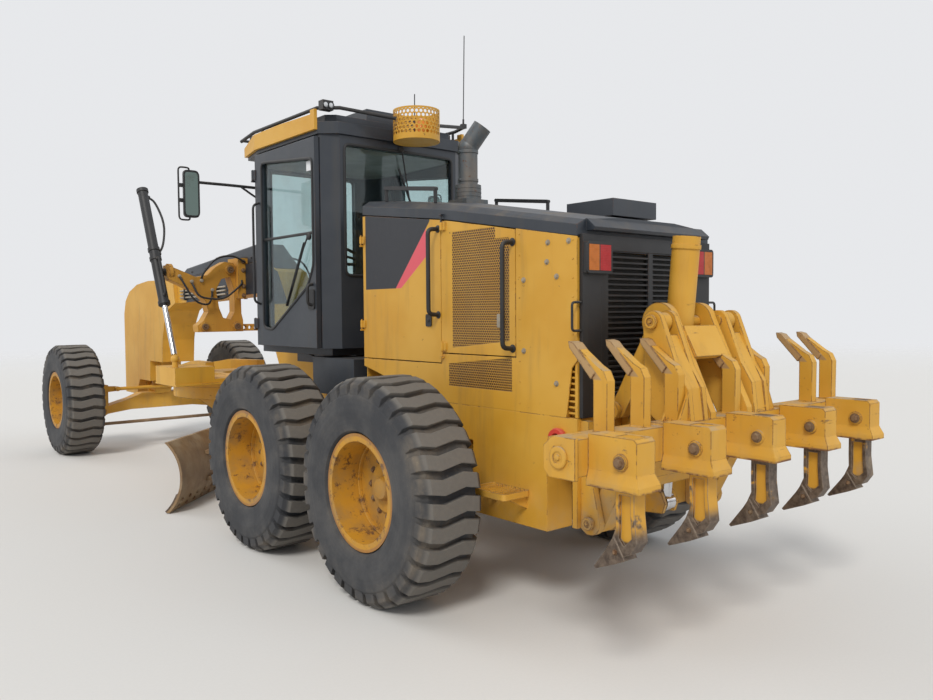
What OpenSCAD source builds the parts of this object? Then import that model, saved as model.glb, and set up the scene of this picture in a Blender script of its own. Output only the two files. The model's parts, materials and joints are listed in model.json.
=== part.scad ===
// Motor grader with an articulated frame, a leaning front axle, a blade circle and a rear ripper.
// The machine faces -Y, its left side is +X, and the ground is z = 0.
// Places along Y inside the modules are measured from the middle of the tandem; placed() moves them to the origin.

/* [Machine] */
// Distance from the origin back to the middle of the tandem
tandem_y = 2080; // [1900:10:2300]
// Front axle to the middle of the tandem
wheelbase = 6123; // [6000:10:6300]
// Distance between the two wheels of one tandem
tandem_spacing = 1523; // [1440:1:1600]
// Distance between the left and right tyre centres
track = 2140; // [2080:1:2240]
// Articulation pin ahead of the middle of the tandem
hitch_ahead = 1350; // [1300:10:1400]

/* [Wheels] */
// Radius of a tyre over its lugs
tyre_r = 672; // [640:1:672]
// Section width of a tyre
tyre_w = 445; // [400:1:460]
// Radius of the rim's bead seat
bead_r = 318; // [300:1:330]
// Rim width between its flanges
rim_w = 356; // [330:1:370]
// Height of a tread lug
lug_h = 34; // [20:1:45]
// Number of lugs around a tyre
lug_count = 32; // [24:1:36]
// Width of a lug around the tyre
lug_w = 84; // [60:1:95]

/* [Rear frame] */
// Half width over the frame rails
rail_half = 400; // [380:1:420]
// Width of a frame rail
rail_w = 90; // [60:1:110]
// Top of the frame rails
rail_top = 1100; // [1060:1:1140]
// Radius of the axle housing across the tandem
housing_r = 190; // [160:1:200]
// Width of a tandem case
case_w = 180; // [140:1:190]
// Radius of a tandem case's round ends
case_r = 235; // [200:1:250]

/* [Hood] */
// Half width of the engine hood
hood_half = 593; // [580:1:600]
// Front face of the hood
hood_front = -200; // [-230:1:-190]
// Rear face of the hood
hood_rear = 1864; // [1850:1:1880]
// Lower edge of the hood's side panels
hood_low = 1150; // [1120:1:1180]
// Thickness of a hood panel
panel_t = 8; // [4:1:12]
// Seam between the engine door and the mesh door
seam_y = 705; // [680:1:730]
// Seam between the mesh door and the fixed rear panel
rear_seam_y = 1390; // [1370:1:1410]
// Lower edge of the engine door
door_low = 1400; // [1370:1:1430]
// Lower edge of the mesh door
mesh_low = 1465; // [1440:1:1480]
// Gap around a hood door
door_gap = 6; // [5:1:10]

/* [Cab] */
// Half width of the cab at its doors
cab_half = 680; // [660:1:700]
// Floor of the cab
cab_floor = 1450; // [1430:1:1480]
// Underside of the cab roof
cab_top = 3060; // [3000:10:3100]
// Front edge of the cab doors
cab_door_front = -1650; // [-1680:1:-1620]
// Rear edge of the cab doors
cab_door_rear = -640; // [-660:1:-620]
// Rear face of the cab
cab_rear = -555; // [-570:1:-540]
// Front face of the cab
cab_front = -1960; // [-2000:1:-1940]
// Thickness of a cab wall
wall_t = 45; // [40:1:60]
// Top of the roof
roof_top = 3308; // [3250:1:3350]

/* [Front frame] */
// Half width of the main beam
beam_half = 155; // [140:1:165]
// Half width of the front nose
nose_half = 200; // [180:1:205]
// Front face of the nose
nose_front = -6850; // [-6900:1:-6820]

// Radius of the tow pin's hole in the nose
tow_r = 25; // [20:1:30]
// Depth of the tow pin's hole
tow_depth = 240; // [200:1:260]
// Bolt spacing across the front of the nose
nose_bolt_x = 280; // [240:1:320]
// Bolt spacing up the front of the nose
nose_bolt_z = 500; // [400:1:600]

/* [Blade group] */
// Circle centre behind the tandem's middle (negative is ahead of it)
circle_y = -3400; // [-3450:10:-3350]
// Outer radius of the circle
circle_r = 800; // [765:1:820]
// Turn of the circle from straight across
circle_turn = 43.5; // [40:0.5:50]
// Blade length
blade_l = 3658; // [3600:1:3700]
// Blade height
blade_h = 610; // [580:1:640]
// Blade thickness
blade_t = 22; // [18:1:26]
// Radius of the blade's curve
blade_arc_r = 413; // [400:1:430]
// Blade shifted along its length from the circle's middle
blade_shift = -50; // [-120:1:0]
// Height of the cutting edge above the ground
blade_lift = 8; // [5:1:30]
// Distance of a lift cylinder from the middle
lift_x = 1000; // [980:1:1010]

/* [Ripper] */
// Distance between ripper shanks
shank_pitch = 533; // [520:1:545]
// Centre of the ripper beam behind the tandem's middle
rip_beam_y = 2335; // [2320:1:2350]
// Centre height of the ripper beam
rip_beam_z = 1085; // [1070:1:1100]
// Side of the square ripper beam
rip_beam_s = 165; // [150:1:180]

/* [Hidden] */
$fn = 48;
yellow = [0.85, 0.60, 0.15];
dark = [0.16, 0.18, 0.21];
black = [0.06, 0.06, 0.07];
rubber = [0.20, 0.20, 0.20];
steel = [0.75, 0.75, 0.78];
// gap between pieces of one body that sit on each other
seat_gap = 0.3;
// radial clearance of a pin in its bore
run = 0.08;
hub_z = tyre_r;
front_y = -wheelbase;
half_track = track / 2;
wheel_ys = [front_y, -tandem_spacing / 2, tandem_spacing / 2];

// wheels and axle
kingpin_x = 820;
kingpin_r = 28;
lean_x = 740;
lean_z = 500;
lean_pin_r = 30;
bar_rise = 280;
arm_low = 562;
arm_high = 790;
tie_arm = 200;
tie_in = 20;
bar_x = 590;
bar_y = 180;
bolster = 112;
tie_z = 412;
hub_r = 150;
rim_disc_x = 40;
// x of the faces where the wheels bolt on
disc_t = 26;
// inner face of a tandem case
case_in = 620;
// the wheel disc's inner face, and how far a hub stands out of its case to meet it
disc_x = half_track - rim_disc_x;
hub_reach = disc_x - case_in - case_w - seat_gap;

nose_bolt_mid = 1250;

// articulation
hitch_y = -hitch_ahead;
hitch_pin_r = 45;
hitch_top = [1215, 1285];
hitch_low = [735, 805];
hitch_reach = 80;

// blade
blade_y = -60;
blade_mid_z = blade_lift + blade_h / 2;
blade_sag = blade_arc_r - sqrt(pow(blade_arc_r, 2) - pow(blade_h / 2, 2));
tilt_y = 235;
tilt_z = 260;
tilt_pin_r = 28;
// rails on the blade's back: height, front of the shoe, back of the rail
blade_rails = [[205, 96, 120], [450, 90, 114]];
arm_x = 640;
circle_top = 1040;
circle_low = 880;
draw_low = 1046;
draw_top = 1220;
draw_mid = 1100;
yoke_front = -3230;
yoke_rear = -2720;
ball_y = -5740;
ball_z = 960;
ball_run = 0.5;
ball_r = 70;
bar_turn = 8;
rail_lift = 95;
hood_pivot_x = 606;
hood_hinge_z = [1640, 2240];
// pins of the mesh door: below its lower edge and above its upper edge
mesh_pivot_y = seam_y + 20;
mesh_hinge_z = [1503, 2262];
cab_pivot = [731, -1666];
cab_hinge_z = [1640, 2880];
// middle of the beacon guard
guard = [-5, -348];
guard_r = 180;
guard_z = [3035, 3275];
roof_rail = [668, 3262];
notch_y = 1785;
grille_low = 1240;
grille_t = 24;
trunnion = [lift_x, -3212, 2129];
rod_eye = [lift_x, -2820, 1300];
trunnion_r = 35;
lift_tilt = atan2(rod_eye[1] - trunnion[1], trunnion[2] - rod_eye[2]);
lift_len = norm(trunnion - rod_eye);
barrel_low = 360;
barrel_top = 926;
rod_top = 420;
rod_low = 46;

// ripper linkage: pins in the side view, y and z
rip_low = [1930, 600];
rip_arm = [265, 480];
rip_high = [1915, 1185];
rip_pin_r = 30;
low_eye = rip_low + rip_arm;
high_eye = rip_high + rip_arm;
link_x = 414;
arm_pin_x = 470;
cyl_low = [1990, 640];
cyl_trunnion = [2085, 1660];
cyl_tilt = atan2(cyl_trunnion[0] - cyl_low[0], cyl_trunnion[1] - cyl_low[1]);
cyl_len = norm(cyl_trunnion - cyl_low);
cyl_r = 75;
shank_y = 2600;
shank_xs = [for (i = [-2:2]) i * shank_pitch];
// scarifier tines along the beam
tine_xs = [934, 667, 400, -108, -400, -934, -1180];

module placed() { translate([0, tandem_y, 0]) children(); }
// side profile [y, z] as thick as w, centred on x
module side(w, x = 0) { translate([x - w / 2, 0, 0]) rotate([90, 0, 90]) linear_extrude(w) children(); }
// front profile [x, z] from y0, as deep as d
module across(d, y0) { translate([0, y0 + d, 0]) rotate([90, 0, 0]) linear_extrude(d) children(); }
module block(lo, hi) { translate(lo) cube(hi - lo); }
module x_cyl(r, l, p) { translate(p) rotate([0, 90, 0]) cylinder(r = r, h = l, center = true); }
module y_cyl(r, l, p) { translate(p) rotate([90, 0, 0]) cylinder(r = r, h = l, center = true); }
module z_cyl(r, l, p) { translate(p) cylinder(r = r, h = l, center = true); }
module mirrored() { children(); mirror([1, 0, 0]) children(); }
module on_right(right) { mirror([right ? 1 : 0, 0, 0]) children(); }
// round bar from a to b, a little longer at both ends so that bars meet
module tube(a, b, r) {
    d = b - a;
    l = norm(d);
    translate(a) rotate([0, acos(d[2] / l), atan2(d[1], d[0])]) translate([0, 0, -0.3 * r]) cylinder(r = r, h = l + 0.6 * r, $fn = 10);
}
// flat link between two points of a profile, round at both ends
module link2d(a, b, ra, rb) {
    d = b - a;
    l = norm(d);
    turn = atan2(d[1], d[0]);
    translate(a) rotate(turn) {
        circle(ra);
        polygon([[0, -ra], [l, -rb], [l, rb], [0, ra]]);
        translate([l, 0]) circle(rb);
    }
}

// height of the hood's side edge at a place along it
function hood_crown(x, y) = hood_edge(y - 4) + seat_gap + 100 + 25 * (hood_half - 60 - x) / (hood_half - 310);
function hood_edge(y) = y < seam_y
    ? 2421 - (y - hood_front) * (2421 - 2311) / (seam_y - hood_front)
    : 2311 - (y - seam_y) * (2311 - 2119) / (hood_rear - seam_y);

module rear_frame() {
    color(yellow) {
        mirrored() {
            block([rail_half - rail_w, -950, housing_r + hub_z + seat_gap], [rail_half, hood_rear - 30, rail_top]);
            // side channel under the hood
            block([hood_half - 40, 330, 940], [hood_half, hood_rear, hood_low - seat_gap]);
            block([rail_half, 330, 980], [hood_half - 40, 380, 1100]);
            block([rail_half - 10, 1010, 500], [hood_half, 1640, 940]);
        }
        for (y = [-700, 620, 1250]) block([-rail_half + rail_w, y, 920], [rail_half - rail_w, y + 90, rail_top - 20]);
        // rear plate that carries the ripper
        block([-hood_half, hood_rear - 34, 560], [hood_half, hood_rear, hood_low - seat_gap]);
        block([-430, hood_rear - 34, hood_low - 1], [430, hood_rear, grille_low - 5]);
        // hitch nose and its two lugs
        block([-rail_half, -1010, 870], [rail_half, -940, 1170]);
        for (z = [hitch_low, hitch_top]) hitch_lug(z);
        block([-150, -1180, hitch_low[0]], [150, -1000, hitch_top[1]]);
        for (z = [[hitch_low[0], hitch_low[1] + hitch_reach], [hitch_top[0] - hitch_reach, hitch_top[1]]])
            z_cyl(hitch_pin_r, z[1] - z[0], [0, hitch_y, (z[0] + z[1]) / 2]);
    }
}

module hitch_lug(z) {
    translate([0, 0, z[0]]) linear_extrude(z[1] - z[0]) hull() {
        translate([0, hitch_y]) circle(95);
        translate([-150, -1120]) square([300, 60]);
    }
}

module axle_housing() {
    color(yellow) x_cyl(housing_r, 2 * case_in - 2 * seat_gap, [0, 0, hub_z]);
}

module tandem_case(right) {
    on_right(right) color(yellow) {
        side(case_w, case_in + case_w / 2)
            link2d([-tandem_spacing / 2, hub_z], [tandem_spacing / 2, hub_z], case_r, case_r);
        for (y = [-tandem_spacing / 2, tandem_spacing / 2])
            x_cyl(hub_r - 20, hub_reach + 1, [case_in + case_w + (hub_reach - 1) / 2, y, hub_z]);
    }
}

module engine_block() {
    color(dark) {
        block([-330, -60, rail_top + seat_gap], [330, 1250, 1960]);
    }
}

module hood_side(y0, y1, low0, low1) {
    polygon([[y0, low0], [y1, low1], [y1, hood_edge(y1) - door_gap], [y0 + 50, hood_edge(y0 + 50) - door_gap], [y0, hood_edge(y0 + 50) - door_gap]]);
}

module hood_panels() {
    x = hood_half - panel_t / 2;
    color(yellow) {
        mirrored() {
            // fixed rear panel and the strip under the doors
            side(panel_t, x) polygon([[hood_front, 1340], [600, hood_low], [notch_y, hood_low], [notch_y + 40, 1420], [hood_rear, 1460],
                [hood_rear, hood_edge(hood_rear) - 2], [rear_seam_y + door_gap, hood_edge(rear_seam_y) - 2],
                [rear_seam_y + door_gap, mesh_low - door_gap], [seam_y + door_gap, mesh_low - door_gap],
                [seam_y, door_low - door_gap], [hood_front, door_low - door_gap]]);
            block([hood_half - 60, hood_rear - 8, 1470], [hood_half - 2, hood_rear - 1, hood_edge(hood_rear) - 8]);
            block([hood_half - 40, hood_front + 3, hood_low + 2], [hood_half - 4, notch_y - 2, hood_low + 40]);
            // louvres in the notch at the rear corner
            block([hood_half - 50, hood_rear - 24, hood_low + 2], [hood_half - 10, hood_rear - 5, 1480]);
            for (i = [0:7]) block([hood_half - 50, notch_y + 4, hood_low + 20 + i * 32], [hood_half - 14, hood_rear - 15, hood_low + 30 + i * 32]);
            block([hood_half - 56, notch_y - 40, hood_low + 2], [hood_half - 49, hood_rear - 15, 1472]);
        }
        // front bulkhead and the posts behind the door seams
        mirrored() for (z = hood_hinge_z) {
            hinge_pin([hood_pivot_x, hood_front - 6, z], 5, 70, 46, 5);
        }
        mirrored() {
            z_cyl(5, 100, [hood_pivot_x, mesh_pivot_y, mesh_hinge_z[0] - 13]);
            block([hood_half - 1, mesh_pivot_y - 10, 1430], [hood_pivot_x + 10, mesh_pivot_y + 10, 1441]);
        }
        block([-hood_half + panel_t + 19, hood_front - 6, hood_low], [hood_half - panel_t - 19, hood_front + 8, 2400]);
        for (y = [seam_y, rear_seam_y]) difference() {
            block([-hood_half + panel_t + 24, y - 20, hood_low], [hood_half - panel_t - 24, y + 20, hood_edge(y) - 10]);
            block([-hood_half + 70, y - 30, 1000], [hood_half - 70, y + 30, hood_edge(y) - 60]);
        }
    }
}

module hood_slab(y, drop) {
    z = hood_edge(y);
    across(4, y) polygon([[-hood_half, z], [hood_half, z], [hood_half, z + 60], [hood_half - 60, z + 100 - drop],
        [250, z + 125 - drop], [-250, z + 125 - drop], [-hood_half + 60, z + 100 - drop], [-hood_half, z + 60]]);
}

module hood_top() {
    color(dark) {
        hull() {
            hood_slab(hood_front, 0);
            hood_slab(seam_y, 0);
        }
        hull() {
            hood_slab(seam_y, 0);
            hood_slab(hood_rear - 4, 10);
        }
        mirrored() {
            z_cyl(5, 100, [hood_pivot_x, mesh_pivot_y, mesh_hinge_z[1] + 26]);
            block([hood_half - 1, mesh_pivot_y - 10, 2328], [hood_pivot_x + 10, mesh_pivot_y + 10, 2340]);
        }
        // lip over the rear grille, and the dark box on top
        side(2 * 520) polygon([[hood_rear - 8, 2215], [hood_rear - 8, 2150], [hood_rear + 52, 2150], [hood_rear + 60, 2168], [hood_rear + 4, 2216]]);
        block([-480, 1180, 2300], [-60, 1560, 2405]);
    }
}

module rear_grille() {
    y = hood_rear + seat_gap;
    color(black) {
        difference() {
            union() {
                block([-575, y, grille_low], [575, y + grille_t, 2130]);
                mirrored() block([436, y, hood_low + 5], [575, y + grille_t, grille_low + 1]);
                // housings of the tail lamps
                mirrored() block([372, y + grille_t - 1, 1925], [572, y + grille_t + 22, 2088]);
            }
            block([-425, y - 5, grille_low + 40], [425, y + grille_t - 0.5, 2050]);
            block([-371, y - 5, grille_low + 40], [371, y + 50, 2050]);
            mirrored() block([384, y + grille_t + 6, 1937], [560, y + 90, 2076]);
        }
        for (i = [0:25]) block([-430, y + 4, grille_low + 52 + i * 30], [430, y + 18, grille_low + 62 + i * 30]);
        block([-20, y + 2, grille_low + 35], [20, y + 21, 2055]);
    }
}

module tail_lamps() {
    color("red") mirrored() block([385, hood_rear + grille_t + 6 + 2 * seat_gap, 1938], [559, hood_rear + 56, 2075]);
}

module exhaust_stack() {
    color(dark) {
        difference() {
            union() {
                z_cyl(72, 400, [-180, 60, 2745]);
                translate([-180, 60, 2950]) sphere(76);
                translate([-180, 60, 2950]) rotate([0, 36, 130]) cylinder(r = 72, h = 190);
            }
            translate([-180, 60, 2950]) rotate([0, 36, 130]) translate([0, 0, 20]) cylinder(r = 63, h = 200);
        }
        z_cyl(98, 140, [-180, 60, 2600]);
        side(210, -180) polygon([[-45, hood_crown(250, -45)], [165, hood_crown(250, 165)], [165, 2560], [-45, 2560]]);
    }
}

module hood_rails() {
    x = 520;
    ends = [0, 560];
    color(black) mirrored() {
        for (y = ends) z_cyl(13, rail_lift - 2, [x, y, hood_crown(x, y) + rail_lift / 2 + 1]);
        side(26, x) link2d([ends[0], hood_crown(x, ends[0]) + rail_lift], [ends[1], hood_crown(x, ends[1]) + rail_lift], 13, 13);
    }
}

module ripper_bracket() {
    y0 = hood_rear + seat_gap;
    color(yellow) {
        mirrored() {
            for (x = [arm_pin_x - 75, arm_pin_x + 75]) difference() {
                side(40, x) {
                    polygon([[y0, 560], [rip_low[0] - 20, 532], [rip_low[0] + 68, 600], [1925, 900], [1920, 1140], [y0, 1140]]);
                    translate(rip_low) circle(65);
                }
                x_cyl(rip_pin_r + run, 400, [x, rip_low[0], rip_low[1]]);
            }
            // fork beside the lift rod's eye
            side(24, 52) polygon([[y0, 570], [cyl_low[0] + 30, 585], [cyl_low[0] + 50, 640], [cyl_low[0] + 20, 700], [y0, 760]]);
            for (x = [link_x - 200, link_x - 45]) difference() {
                side(30, x) {
                    translate(rip_high) circle(50);
                    translate([y0, rip_high[1] - 110]) square([rip_high[0] - y0, 160]);
                }
                x_cyl(rip_pin_r + run, 400, [x, rip_high[0], rip_high[1]]);
            }
        }
    }
}

module hood_door(y0, y1, low, right, pin_y, hinge_z) {
    on_right(right) color(yellow) {
        side(panel_t, hood_half - panel_t / 2) hood_side(y0, y1, low, low);
        side(12, hood_half - panel_t - 6) difference() {
            hood_side(y0, y1, low, low);
            translate([y0 + 40, low + 40]) square([y1 - y0 - 80, hood_edge(y1) - low - 120]);
        }
        for (z = hinge_z) hinge_knuckle([hood_pivot_x, pin_y, z], 5, 60, [-hood_pivot_x + hood_half - 1, -3], 34);
    }
}
module engine_door(right) { hood_door(hood_front + 2, seam_y - door_gap / 2, door_low, right, hood_front - 6, hood_hinge_z); }
module mesh_door(right) { hood_door(seam_y + door_gap / 2, rear_seam_y, mesh_low, right, mesh_pivot_y, mesh_hinge_z); }

module front_frame() {
    color(yellow) difference() {
        union() {
            side(2 * nose_half) polygon([[nose_front, 660], [nose_front, 1720], [-6780, 1900], [-6620, 2020], [-6300, 2110],
                [-5870, 2145], [-5300, 2135], [-5000, 2120], [-4950, 1850], [-5200, 1760], [-5330, 1600], [-5390, 1400],
                [-5420, 1120], [-5860, 1120], [-5880, 860], [-6276, 860], [-6400, 660]]);
            block([-110, ball_y - 130, ball_z - 95], [110, ball_y, 1121]);
            side(2 * beam_half) polygon([[-5100, 2125], [-2700, 2240], [-2380, 2120], [-2120, 1700], [-2080, 1390],
                [-1700, 1330], [-1500, 1205], [-1500, 815], [-1900, 830], [-2260, 1000], [-2480, 1400], [-2600, 1800], [-2700, 1925],
                [-5100, 1840]]);
            // hitch lugs
            for (z = [hitch_low[1] + 5, hitch_top[0] - 5 - 70]) translate([0, 0, z]) linear_extrude(70) hull() {
                translate([0, hitch_y]) circle(92);
                translate([-beam_half, -1600]) square([2 * beam_half, 60]);
            }
            // plate that carries the cab
            block([-560, -1880, 1390], [560, -700, cab_floor - seat_gap]);
            block([-beam_half, -1700, 1290], [beam_half, -1000, 1392]);
            block([-beam_half, -1700, 1200], [beam_half, -1500, 1300]);
        }
        for (z = [hitch_low[1] + 5, hitch_top[0] - 75]) z_cyl(hitch_pin_r + run, 160, [0, hitch_y, z + 35]);
        translate([0, ball_y, ball_z]) sphere(ball_r + ball_run);
        z_cyl(tow_r, 2 * tow_depth, [0, nose_front + 60, 660]);
        for (x = [-1, 1]) for (z = [-1, 1])
            y_cyl(13, 120, [x * nose_bolt_x / 2, nose_front, nose_bolt_mid + z * nose_bolt_z / 2]);
    }
}

module front_axle() {
    color(yellow) difference() {
        union() {
            across(200, front_y - 100) polygon([[-lean_x, lean_z - 44], [-lean_x, lean_z + 44], [-400, 640], [-260, 700], [260, 700],
                [400, 640], [lean_x, lean_z + 44], [lean_x, lean_z - 44], [400, 500], [-400, 500]]);
            y_cyl(90, 2 * bolster + 2, [0, front_y, 760]);
            // lugs of the middle pin, bolted under the nose
            for (y = [-bolster - 34, bolster]) across(34, front_y + y)
                polygon([[-140, 860 - seat_gap], [-95, 690], [95, 690], [140, 860 - seat_gap]]);
            mirrored() y_cyl(46, 200, [lean_x, front_y, lean_z]);
        }
        mirrored() y_cyl(lean_pin_r + run, 300, [lean_x, front_y, lean_z]);
    }
}

module lean_bracket(right) {
    on_right(right) color(yellow) difference() {
        union() {
            for (s = [-1, 1]) across(34, front_y + s * 124 - 17) polygon([[lean_x - 50, lean_z - 30], [lean_x, lean_z - 55],
                [lean_x + 50, lean_z - 30], [kingpin_x - 66, 600], [kingpin_x - 66, 830], [lean_x - 50, 830]]);
            y_cyl(lean_pin_r, 270, [lean_x, front_y, lean_z]);
            block([lean_x - 50, front_y - 141, 590], [kingpin_x - 66, front_y + 141, 830]);
            for (z = [arm_low, arm_high]) block([lean_x, front_y - 65, z], [kingpin_x + 50, front_y + 65, z + 34]);
            across(18, front_y + bar_y - 48) link2d([bar_x, lean_z + bar_rise], [lean_x, lean_z + bar_rise], 30, 40);
            // the bar's right end is open, so its pin belongs to the bar
            if (!right) y_cyl(15, 85, [bar_x, front_y + bar_y - 8, lean_z + bar_rise]);
        }
        z_cyl(kingpin_r + run, 700, [kingpin_x, front_y, 600]);
    }
}

module knuckle(right) {
    on_right(right) color(yellow) {
        z_cyl(kingpin_r, 830 - tie_z + 16, [kingpin_x, front_y, (830 + tie_z - 16) / 2]);
        z_cyl(56, arm_high - arm_low - 34 - 6, [kingpin_x, front_y, (arm_high + arm_low + 34) / 2]);
        x_cyl(50, disc_x - kingpin_x - seat_gap, [(disc_x + kingpin_x - seat_gap) / 2, front_y, hub_z]);
        x_cyl(120, 60, [disc_x - seat_gap - 30, front_y, hub_z]);
        translate([kingpin_x, front_y, tie_z - 16]) linear_extrude(32) link2d([0, 0], [-tie_in, tie_arm], 44, 26);
    }
}

module lean_bar() {
    z = lean_z + bar_rise;
    color(yellow) difference() {
        union() {
            x_cyl(22, 2 * bar_x, [0, front_y + bar_y, z]);
            mirrored() y_cyl(30, 50, [bar_x, front_y + bar_y, z]);
            y_cyl(15, 70, [-bar_x, front_y + bar_y + 6, z]);
        }
        y_cyl(15 + run, 100, [bar_x, front_y + bar_y, z]);
    }
}

tie_x = kingpin_x - tie_in;
module tie_end() {
    color(yellow) {
        z_cyl(12, 30, [tie_x, front_y + tie_arm, tie_z - 16 - seat_gap - 15]);
        translate([tie_x, front_y + tie_arm, tie_z - 60]) sphere(28);
    }
}
module tie_rod() {
    color(yellow) difference() {
        union() {
            x_cyl(20, 2 * tie_x, [0, front_y + tie_arm, tie_z - 60]);
            mirrored() y_cyl(40, 50, [tie_x, front_y + tie_arm, tie_z - 60]);
        }
        translate([tie_x, front_y + tie_arm, tie_z - 60]) sphere(28 + ball_run);
        z_cyl(27, 60, [tie_x, front_y + tie_arm, tie_z - 30]);
    }
}

module lift_arm_profile() {
    difference() {
        polygon([[lift_x - 70, 2195], [760, 2130], [650, 2085], [540, 2105], [450, 2190], [350, 2246], [262, 2236], [205, 2150],
            [186, 1960], [182, 1720], [165, 1650], [165, 1538], [640, 1538], [645, 1605], [585, 1650], [530, 1740], [560, 1850],
            [640, 1930], [760, 1985], [lift_x - 70, 2062]]);
        polygon([[300, 2090], [390, 2070], [450, 1960], [420, 1780], [380, 1680], [300, 1660], [255, 1740], [255, 1950]]);
    }
}
module lift_arms() {
    y0 = trunnion[1] - 65;
    color(yellow) {
        difference() {
            union() {
                // saddle round the main beam, the two bell cranks and the link bar below
                block([-235, y0 - 60, 1872], [235, y0 + 190, 2285]);
                mirrored() across(130, y0) lift_arm_profile();
                block([-640, y0 + 30, 1541], [640, y0 + 70, 1612]);
                mirrored() {
                    x_cyl(82, 40, [lift_x - 105, trunnion[1], trunnion[2]]);
                    for (p = [[575, 1590], [235, 1590], [300, 2165]]) y_cyl(46, 170, [p[0], trunnion[1], p[1]]);
                }
            }
            block([-beam_half - seat_gap, -3500, 1860], [beam_half + seat_gap, -2900, 2232]);
            mirrored() x_cyl(trunnion_r + run, 120, [lift_x - 105, trunnion[1], trunnion[2]]);
            // holes of the link bar
            for (i = [-3:3]) y_cyl(20, 100, [i * 62, y0 + 50, 1576]);
        }
    }
}

module cab_outline(d = 0) {
    polygon([[560 - d, cab_rear - d], [cab_half - d, cab_door_rear], [cab_half - d, cab_door_front], [500 - d, cab_front + d],
        [-500 + d, cab_front + d], [-cab_half + d, cab_door_front], [-cab_half + d, cab_door_rear], [-560 + d, cab_rear - d]]);
}

module cab_shell() {
    color(dark) mirrored() for (z = cab_hinge_z) hinge_pin([cab_pivot[0], cab_pivot[1], z], 7, 90, 75, 12);
    color(dark) difference() {
        translate([0, 0, cab_floor]) linear_extrude(cab_top - cab_floor) cab_outline();
        translate([0, 0, cab_floor + 40]) linear_extrude(cab_top - cab_floor - 90) cab_outline(wall_t);
        // door openings
        block([-cab_half - 10, cab_door_front + 45, cab_floor + 40], [cab_half + 10, cab_door_rear - 45, cab_top - 60]);
        // rear window
        block([-515, cab_rear - 80, 2010], [515, cab_rear + 20, cab_top - 70]);
        // front windows
        block([-430, cab_front - 20, cab_floor + 90], [430, cab_front + 80, cab_top - 90]);
    }
}

module roof_outline() {
    polygon([[575, -537], [698, -640], [698, -1640], [620, -1990], [-620, -1990], [-698, -1640], [-698, -640], [-575, -537]]);
}
module cab_roof() {
    color(dark) translate([0, 0, cab_top + seat_gap]) {
        linear_extrude(90) roof_outline();
        translate([0, 0, 89]) linear_extrude(70) offset(delta = -90) roof_outline();
        block([-430, -1150, 150], [260, -640, roof_top - cab_top - seat_gap]);
    }
}
// yellow band round the roof's front and sides, and the guard of the beacon
module roof_visor() {
    z = cab_top + 30;
    color(yellow) {
        difference() {
            translate([0, 0, z]) linear_extrude(150) offset(delta = 26) roof_outline();
            translate([0, 0, z - 10]) linear_extrude(200) offset(delta = seat_gap) roof_outline();
            block([-900, -640, z - 10], [900, -300, z + 200]);
            side(2000) polygon([[cab_front - 100, z + 70], [cab_front + 260, z + 124], [-1200, z + 130], [-700, z + 118], [-700, z + 160], [cab_front - 100, z + 160]]);
        }
        difference() {
            translate([guard[0], guard[1], guard_z[0]]) cylinder(r = guard_r, h = guard_z[1] - guard_z[0]);
            translate([guard[0], guard[1], guard_z[0] + 6]) cylinder(r = guard_r - 5, h = guard_z[1] - guard_z[0]);
        }
        block([guard[0] - 40, -537 + seat_gap, 3095], [guard[0] + 40, guard[1] - guard_r + 8, 3125]);
    }
}
module roof_rails() {
    x = roof_rail[0];
    z = roof_rail[1];
    color(black) {
        mirrored() {
            for (y = [-1600, -720]) {
                block([x - 20, y - 20, cab_top + 90 + 2 * seat_gap], [x + 20, y + 20, cab_top + 100]);
                z_cyl(11, z - cab_top - 96, [x, y, (z + cab_top + 96) / 2]);
            }
            tube([x, -2010, z - 36], [x, -1760, z], 14);
            tube([x, -1760, z], [x, -690, z], 14);
        }
        tube([x, -690, z], [560, -545, z - 10], 14);
        tube([560, -545, z - 10], [guard[0] + guard_r + 16, guard[1], 3190], 14);
        tube([-x, -690, z], [-620, -520, z], 14);
        tube([-620, -520, z], [guard[0] - guard_r - 16, guard[1], 3190], 14);
        block([-640, -540, z - 8], [-600, -500, 3290]);
        tube([x, -1990, z - 34], [-x, -1990, z - 34], 12);
        // work lamps
        block([595, -640, z - 30], [685, -575, z + 40]);
        mirrored() block([465, -2045, z - 70], [575, -1990, z + 20]);
    }
}

module antennas() {
    color(black) {
        translate([-620, -520, 3290 + seat_gap]) cylinder(r = 8, h = 40);
        tube([-620, -520, 3325], [-635, -520, 4020], 4);
        translate([guard[0] + 20, guard[1], guard_z[0] + 6 + seat_gap]) cylinder(r = 14, h = 20);
        tube([guard[0] + 20, guard[1], guard_z[0] + 20], [guard[0] + 15, guard[1], 3400], 4);
    }
}

module cab_seat() {
    color(black) {
        block([-240, -1300, cab_floor + 40 + seat_gap], [240, -880, cab_floor + 480]);
        block([-240, -900, cab_floor + 470], [240, -780, cab_floor + 1150]);
    }
}

// hinge pin with its tab on the fixed side, and the knuckle with its leaf on the door
module hinge_pin(p, r, h, reach, tab) {
    z_cyl(r, h, [p[0], p[1], p[2]]);
    block([p[0] - reach, p[1] - tab, p[2] - h / 2 - 12], [p[0] + 2 * r, p[1] + tab, p[2] - h / 2 + 1]);
}
module hinge_knuckle(p, r, h, leaf_x, leaf_y) {
    difference() {
        union() {
            z_cyl(2 * r, h - 8, p);
            block([p[0] + leaf_x[0], p[1], p[2] - h / 2 + 4], [p[0] + leaf_x[1], p[1] + leaf_y, p[2] + h / 2 - 4]);
        }
        z_cyl(r + run, 2 * h, p);
    }
}

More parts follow.
